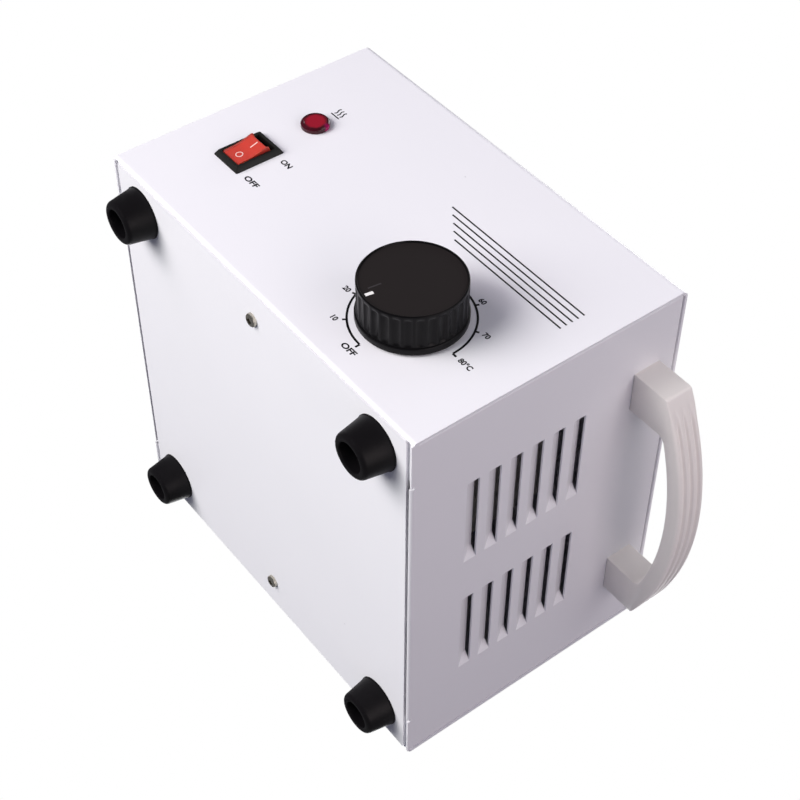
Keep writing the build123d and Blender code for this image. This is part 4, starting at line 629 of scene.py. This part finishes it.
at_switch = ((switch_x, front_y, switch_z), *front_axes)
switch_rows = [
    (0.0106, 0.0162, 0.0003, -0.015), (0.0106, 0.0162, 0.0003, 0.0017), (0.0109, 0.0165, 0.0004, 0.0019),
    (0.0112, 0.0168, 0.0005, 0.002), (0.0124, 0.0180, 0.0005, 0.002), (0.0128, 0.0184, 0.0006, 0.0019),
    (0.0147, 0.0203, 0.0006, 0.0004), (0.0149, 0.0205, 0.0006, 0.0002), (0.0150, 0.0206, 0.0006, 0.00005),
    (0.0150, 0.0206, 0.0006, 0.0), (0.0129, 0.0189, 0.0003, 0.0), (0.0129, 0.0189, 0.0003, -0.018)]
switch_case = skin("switch_case", np.concatenate([
    raised(oblong(w, l, r), (height,), at_switch) for w, l, r, height in switch_rows]))
switch_nylon = finish("switch_nylon", coat_texture, {
    "Base": (0.010, 0.0108, 0.0098, 1.0), "Drift": 0.25, "Peel": 2600.0, "Depth": 0.00001,
    "Gloss": 0.50, "Spread": 0.15, "Specks": -0.3}, {"Specular IOR Level": 0.28})
switch_case.data.materials.append(switch_nylon)
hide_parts("switch_housing")
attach(switch_case, "case_body")

tilt = np.radians(10.0)
rocker_side = rounded([
    (-rocker_end, -rocker_half), (-rocker_mid, 0.0), (-rocker_end, rocker_half), (-0.0026, 0.0069),
    (0.0024, 0.00345), (0.0024, -0.00345), (-0.0026, -0.0069)],
    (0.0005, 0.018, 0.0005, 0.001, 0.001, 0.001, 0.001), steps=8, loop=True)
pivot_place = ((switch_x - rocker_w / 2.0, front_y + pivot_in, switch_z),
               (0.0, np.cos(tilt), np.sin(tilt)), (0.0, -np.sin(tilt), np.cos(tilt)), (1.0, 0.0, 0.0))
step = np.array([0.0, 0.00006, 0.0002, 0.0004, 0.0006])
rocker_level = np.concatenate([step, rocker_w - step[::-1]])
rocker_edge = np.array([0.0006, 0.00035, 0.00012, 0.00003, 0.0])
rocker_edge = np.concatenate([rocker_edge, rocker_edge[::-1]])[:, None]
rocker_key = skin("rocker_key", raised(rocker_side, rocker_level, pivot_place, rocker_edge))
pin_r, pin_out = 0.0012, 0.0008
pin_profile = rounded([(0.0, -pin_out), (pin_r, -pin_out), (pin_r, rocker_w + pin_out),
                       (0.0, rocker_w + pin_out)], 0.0002, steps=3)
rocker_pin = skin("rocker_pin", turned(pin_profile, pivot_place[0], (1.0, 0.0, 0.0), 32))
rocker_red = finish("rocker_red", coat_texture, {
    "Base": (0.54, 0.050, 0.034, 1.0), "Drift": 0.12, "Peel": 1500.0, "Depth": 0.000006,
    "Gloss": 0.24, "Spread": 0.1, "Specks": 0.0}, {"Subsurface Weight": 0.15, "Subsurface Scale": 0.002,
    "Subsurface Radius": (1.0, 0.15, 0.08)})
for piece in (rocker_key, rocker_pin):
    piece.data.materials.append(rocker_red)
    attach(piece, "rocker_body")
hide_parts("switch_rocker")


def on_rocker(stack):
    """Lays rows given on the axes across, along and above onto the rocker's two sloping faces."""
    across, along, above = np.moveaxis(stack, -1, 0)
    y = -rocker_mid - np.abs(along) / rocker_half * (rocker_end - rocker_mid) - above
    x = switch_x + across
    turned_y = front_y + pivot_in + y * np.cos(tilt) - along * np.sin(tilt)
    turned_z = switch_z + y * np.sin(tilt) + along * np.cos(tilt)
    return np.stack([x, turned_y, turned_z], axis=-1)


def ring_row(radius, above):
    """One circle of the ring's fill, on the axes across, along and above."""
    turn = np.linspace(0.0, 2.0 * np.pi, 48, endpoint=False)
    circle = (radius * np.cos(turn), ring_along + radius * np.sin(turn), np.full(48, above))
    return np.stack(circle, axis=-1)


flat_axes = ((0.0, 0.0, 0.0), (1.0, 0.0, 0.0), (0.0, 1.0, 0.0), upright)
fill_low, fill_high = fill_rise
ring_rows = np.stack([ring_row(ring_in_r, fill_low), ring_row(ring_in_r, fill_high),
                      ring_row(ring_out_r, fill_high), ring_row(ring_out_r, fill_low)])
bar_rows = raised(strip([(bar_across, bar_from), (bar_across, bar_to)], bar_w), fill_rise, flat_axes)
rocker_ring = skin("rocker_ring", on_rocker(ring_rows), ends="loop")
rocker_bar = skin("rocker_bar", on_rocker(bar_rows))
mark_pink = finish("mark_pink", coat_texture, {
    "Base": (0.86, 0.60, 0.55, 1.0), "Drift": 0.1, "Peel": 2500.0, "Gloss": 0.4, "Specks": 0.2})
for piece in (rocker_ring, rocker_bar):
    piece.data.materials.append(mark_pink)
    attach(piece, "rocker_body")

# Indicator lamp: a dark red glassy cap over a pale body, held from behind by a spring nut. The cap's
# colour has painted shade that darkens it towards its rim and a painted pink glint in one spot of it.
lamp_x, lamp_z = -0.0596, 0.0801
lens_middle = (lamp_x, front_y - 0.002, lamp_z)
# Where the painted pink glint sits, and the radii over which the painted rim shade and the glint fade.
painted_glint_spot = (lamp_x + 0.0049, front_y - 0.001, lamp_z + 0.0020)
rim_shade_from, rim_shade_to, rim_shade_stray = 0.0042, 0.0058, 0.0022
painted_glint_from, painted_glint_to = 0.0004, 0.0022
lens_profile = rounded([
    (0.0, 0.0012), (0.0040, 0.0012), (0.0044, 0.0001), (0.0055, 0.0001), (0.0055, 0.0016),
    (0.0049, 0.0022), (0.0043, 0.0023), (0.0041, 0.00215), (0.0, 0.0022)],
    (0.0, 0.0004, 0.0001, 0.0001, 0.0004, 0.0003, 0.0001, 0.0002, 0.0), steps=5)
lens_cap = skin("lens_cap", turned(lens_profile, (lamp_x, front_y, lamp_z), (0.0, -1.0, 0.0), 72))
lens_texture, given, made = texture_group("lens_texture", {
    "Face": (0.30, 0.003, 0.018, 1.0), "Painted_rim_shade": (0.040, 0.001, 0.006, 1.0), "Painted_glint": (0.42, 0.0, 0.11, 1.0),
})
where = node(lens_texture, "ShaderNodeTexCoord").outputs["Object"]
out = distance(lens_texture, where, lens_middle)
cloud = node(lens_texture, "ShaderNodeTexNoise", {"Vector": where, "Scale": 330.0, "Detail": 2.0})
# Painted shade: the colour darkens from the face's red towards the cap's rim, a little unevenly.
edge = reckon(lens_texture, "MULTIPLY_ADD", cloud.outputs["Fac"], rim_shade_stray, out)
painted_rim_shade_mask = node(lens_texture, "ShaderNodeMapRange", {
    "Value": edge, "From Min": rim_shade_from, "From Max": rim_shade_to}, interpolation_type="SMOOTHSTEP")
body = mixed(lens_texture, painted_rim_shade_mask.outputs[0], given["Face"], given["Painted_rim_shade"])
# Painted glint: the colour turns pink around one spot near the rim, standing in for light coming through the
# glass.
away = distance(lens_texture, where, painted_glint_spot)
painted_glint_mask = node(lens_texture, "ShaderNodeMapRange", {
    "Value": away, "From Min": painted_glint_from, "From Max": painted_glint_to, "To Min": 1.0, "To Max": 0.0},
    interpolation_type="SMOOTHSTEP")
lens_tone = mixed(lens_texture, painted_glint_mask.outputs[0], body, given["Painted_glint"])
polish = node(lens_texture, "ShaderNodeMapRange", {
    "Value": cloud.outputs["Fac"], "To Min": 0.08, "To Max": 0.16})
ripple = node(lens_texture, "ShaderNodeBump", {"Height": cloud.outputs["Fac"], "Distance": 0.00002})
give(lens_texture, made, lens_tone, polish.outputs[0], ripple.outputs[0])
lens_glass = finish("lens_glass", lens_texture, {}, {"Specular IOR Level": 0.35, "IOR": 1.5})
lens_cap.data.materials.append(lens_glass)
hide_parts("lamp_lens")
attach(lens_cap, "case_body")
natural_nylon = finish("natural_nylon", coat_texture, {
    "Base": (0.72, 0.69, 0.62, 1.0), "Drift": 0.08, "Peel": 1200.0, "Gloss": 0.45, "Specks": 0.2})
dress(natural_nylon, "lamp_body", "terminal_block")

# Mains inlet: a black flanged socket in the back, with three plated pins.
inlet_black = finish("inlet_black", coat_texture, {
    "Base": (0.018, 0.018, 0.019, 1.0), "Drift": 0.25, "Peel": 2200.0, "Depth": 0.00001,
    "Gloss": 0.42, "Spread": 0.15, "Specks": -0.3}, {"Specular IOR Level": 0.4})
dress(inlet_black, "inlet_socket")

# Well, pot and lid: spun and drawn aluminium, with the fine rings that the spinning leaves.
spun_texture, given, made = texture_group("spun_texture", {
    "Base": (0.8, 0.8, 0.8, 1.0), "Rings": 2600.0, "Depth": 0.000006, "Gloss": 0.28, "Spread": 0.2,
})
where = node(spun_texture, "ShaderNodeTexCoord").outputs["Object"]
axle = node(spun_texture, "ShaderNodeVectorMath", {0: where, 1: (0.0, middle_y, 0.0)},
            operation="SUBTRACT")
flat = node(spun_texture, "ShaderNodeVectorMath", {0: axle.outputs[0], 1: (1.0, 1.0, 0.0)},
            operation="MULTIPLY")
out = node(spun_texture, "ShaderNodeVectorMath", {0: flat.outputs[0]}, operation="LENGTH")
parts = node(spun_texture, "ShaderNodeSeparateXYZ", {0: axle.outputs[0]})
ring = node(spun_texture, "ShaderNodeCombineXYZ", {0: out.outputs["Value"], 1: parts.outputs[2], 2: 0.0})
lathe = node(spun_texture, "ShaderNodeTexNoise", {
    "Vector": ring.outputs[0], "Scale": given["Rings"], "Detail": 3.0})
wide = node(spun_texture, "ShaderNodeTexNoise", {"Vector": ring.outputs[0], "Scale": 160.0, "Detail": 2.0})
worn = node(spun_texture, "ShaderNodeTexNoise", {"Vector": where, "Scale": 60.0, "Detail": 4.0})
uneven = reckon(spun_texture, "ADD", wide.outputs["Fac"], worn.outputs["Fac"])
haze = reckon(spun_texture, "SUBTRACT", uneven, 1.0)
rough = reckon(spun_texture, "MULTIPLY_ADD", haze, given["Spread"], given["Gloss"])
tone = reckon(spun_texture, "MULTIPLY_ADD", haze, 0.12, 1.0)
tint = node(spun_texture, "ShaderNodeVectorMath", {0: given["Base"], "Scale": tone}, operation="SCALE")
cut = node(spun_texture, "ShaderNodeBump", {"Height": lathe.outputs["Fac"], "Distance": given["Depth"]})
give(spun_texture, made, tint.outputs[0], rough, cut.outputs[0])
well_metal = finish("well_metal", spun_texture, {"Base": (0.74, 0.74, 0.75, 1.0)}, {"Metallic": 1.0})
lid_metal = finish("lid_metal", spun_texture, {
    "Base": (0.80, 0.80, 0.81, 1.0), "Gloss": 0.22}, {"Metallic": 1.0})
dress(well_metal, "heater_well", "wax_pot", "well_rivets")
dress(lid_metal, "lid")
dress(bright_zinc, "pot_bail")
lid_bakelite = finish("lid_bakelite", coat_texture, {
    "Base": (0.016, 0.015, 0.016, 1.0), "Drift": 0.2, "Peel": 1500.0, "Depth": 0.000005,
    "Gloss": 0.22, "Spread": 0.1, "Specks": -0.3})
dress(lid_bakelite, "lid_knob")

# What sits inside the case: thermostat, cut-out, bulb and pipe, heating band, lagging and leads.
stat_tan = finish("stat_tan", coat_texture, {
    "Base": (0.36, 0.27, 0.17, 1.0), "Drift": 0.2, "Peel": 1300.0, "Depth": 0.00002, "Gloss": 0.5})
dress(stat_tan, "thermostat_body", "thermal_cutout")
copper = finish("copper", plate_texture, {
    "Light": (0.78, 0.45, 0.30, 1.0), "Dark": (0.55, 0.30, 0.20, 1.0)}, {"Metallic": 1.0})
dress(copper, "capillary_tube", "sensing_bulb")
band_steel = finish("band_steel", plate_texture, {
    "Light": (0.62, 0.60, 0.56, 1.0), "Dark": (0.45, 0.42, 0.38, 1.0), "Gloss": 0.4}, {"Metallic": 1.0})
dress(band_steel, "heating_band")
felt = finish("felt", coat_texture, {
    "Base": (0.80, 0.78, 0.71, 1.0), "Drift": 0.15, "Peel": 900.0, "Depth": 0.0004,
    "Gloss": 0.95, "Spread": 0.05, "Specks": 0.5})
dress(felt, "lagging")
for name, colour, leads in (
        ("sleeve_brown", (0.12, 0.045, 0.02, 1.0),
         ("lead_live_in", "lead_switched", "lead_heat_out", "lead_band")),
        ("sleeve_blue", (0.03, 0.12, 0.45, 1.0), ("lead_neutral", "lead_neutral_in", "lamp_leads")),
        ("sleeve_green", (0.06, 0.30, 0.05, 1.0), ("lead_earth",))):
    sleeve = finish(name, coat_texture, {
        "Base": colour, "Drift": 0.1, "Peel": 2000.0, "Depth": 0.000008, "Gloss": 0.45, "Specks": 0.0})
    dress(sleeve, *leads)
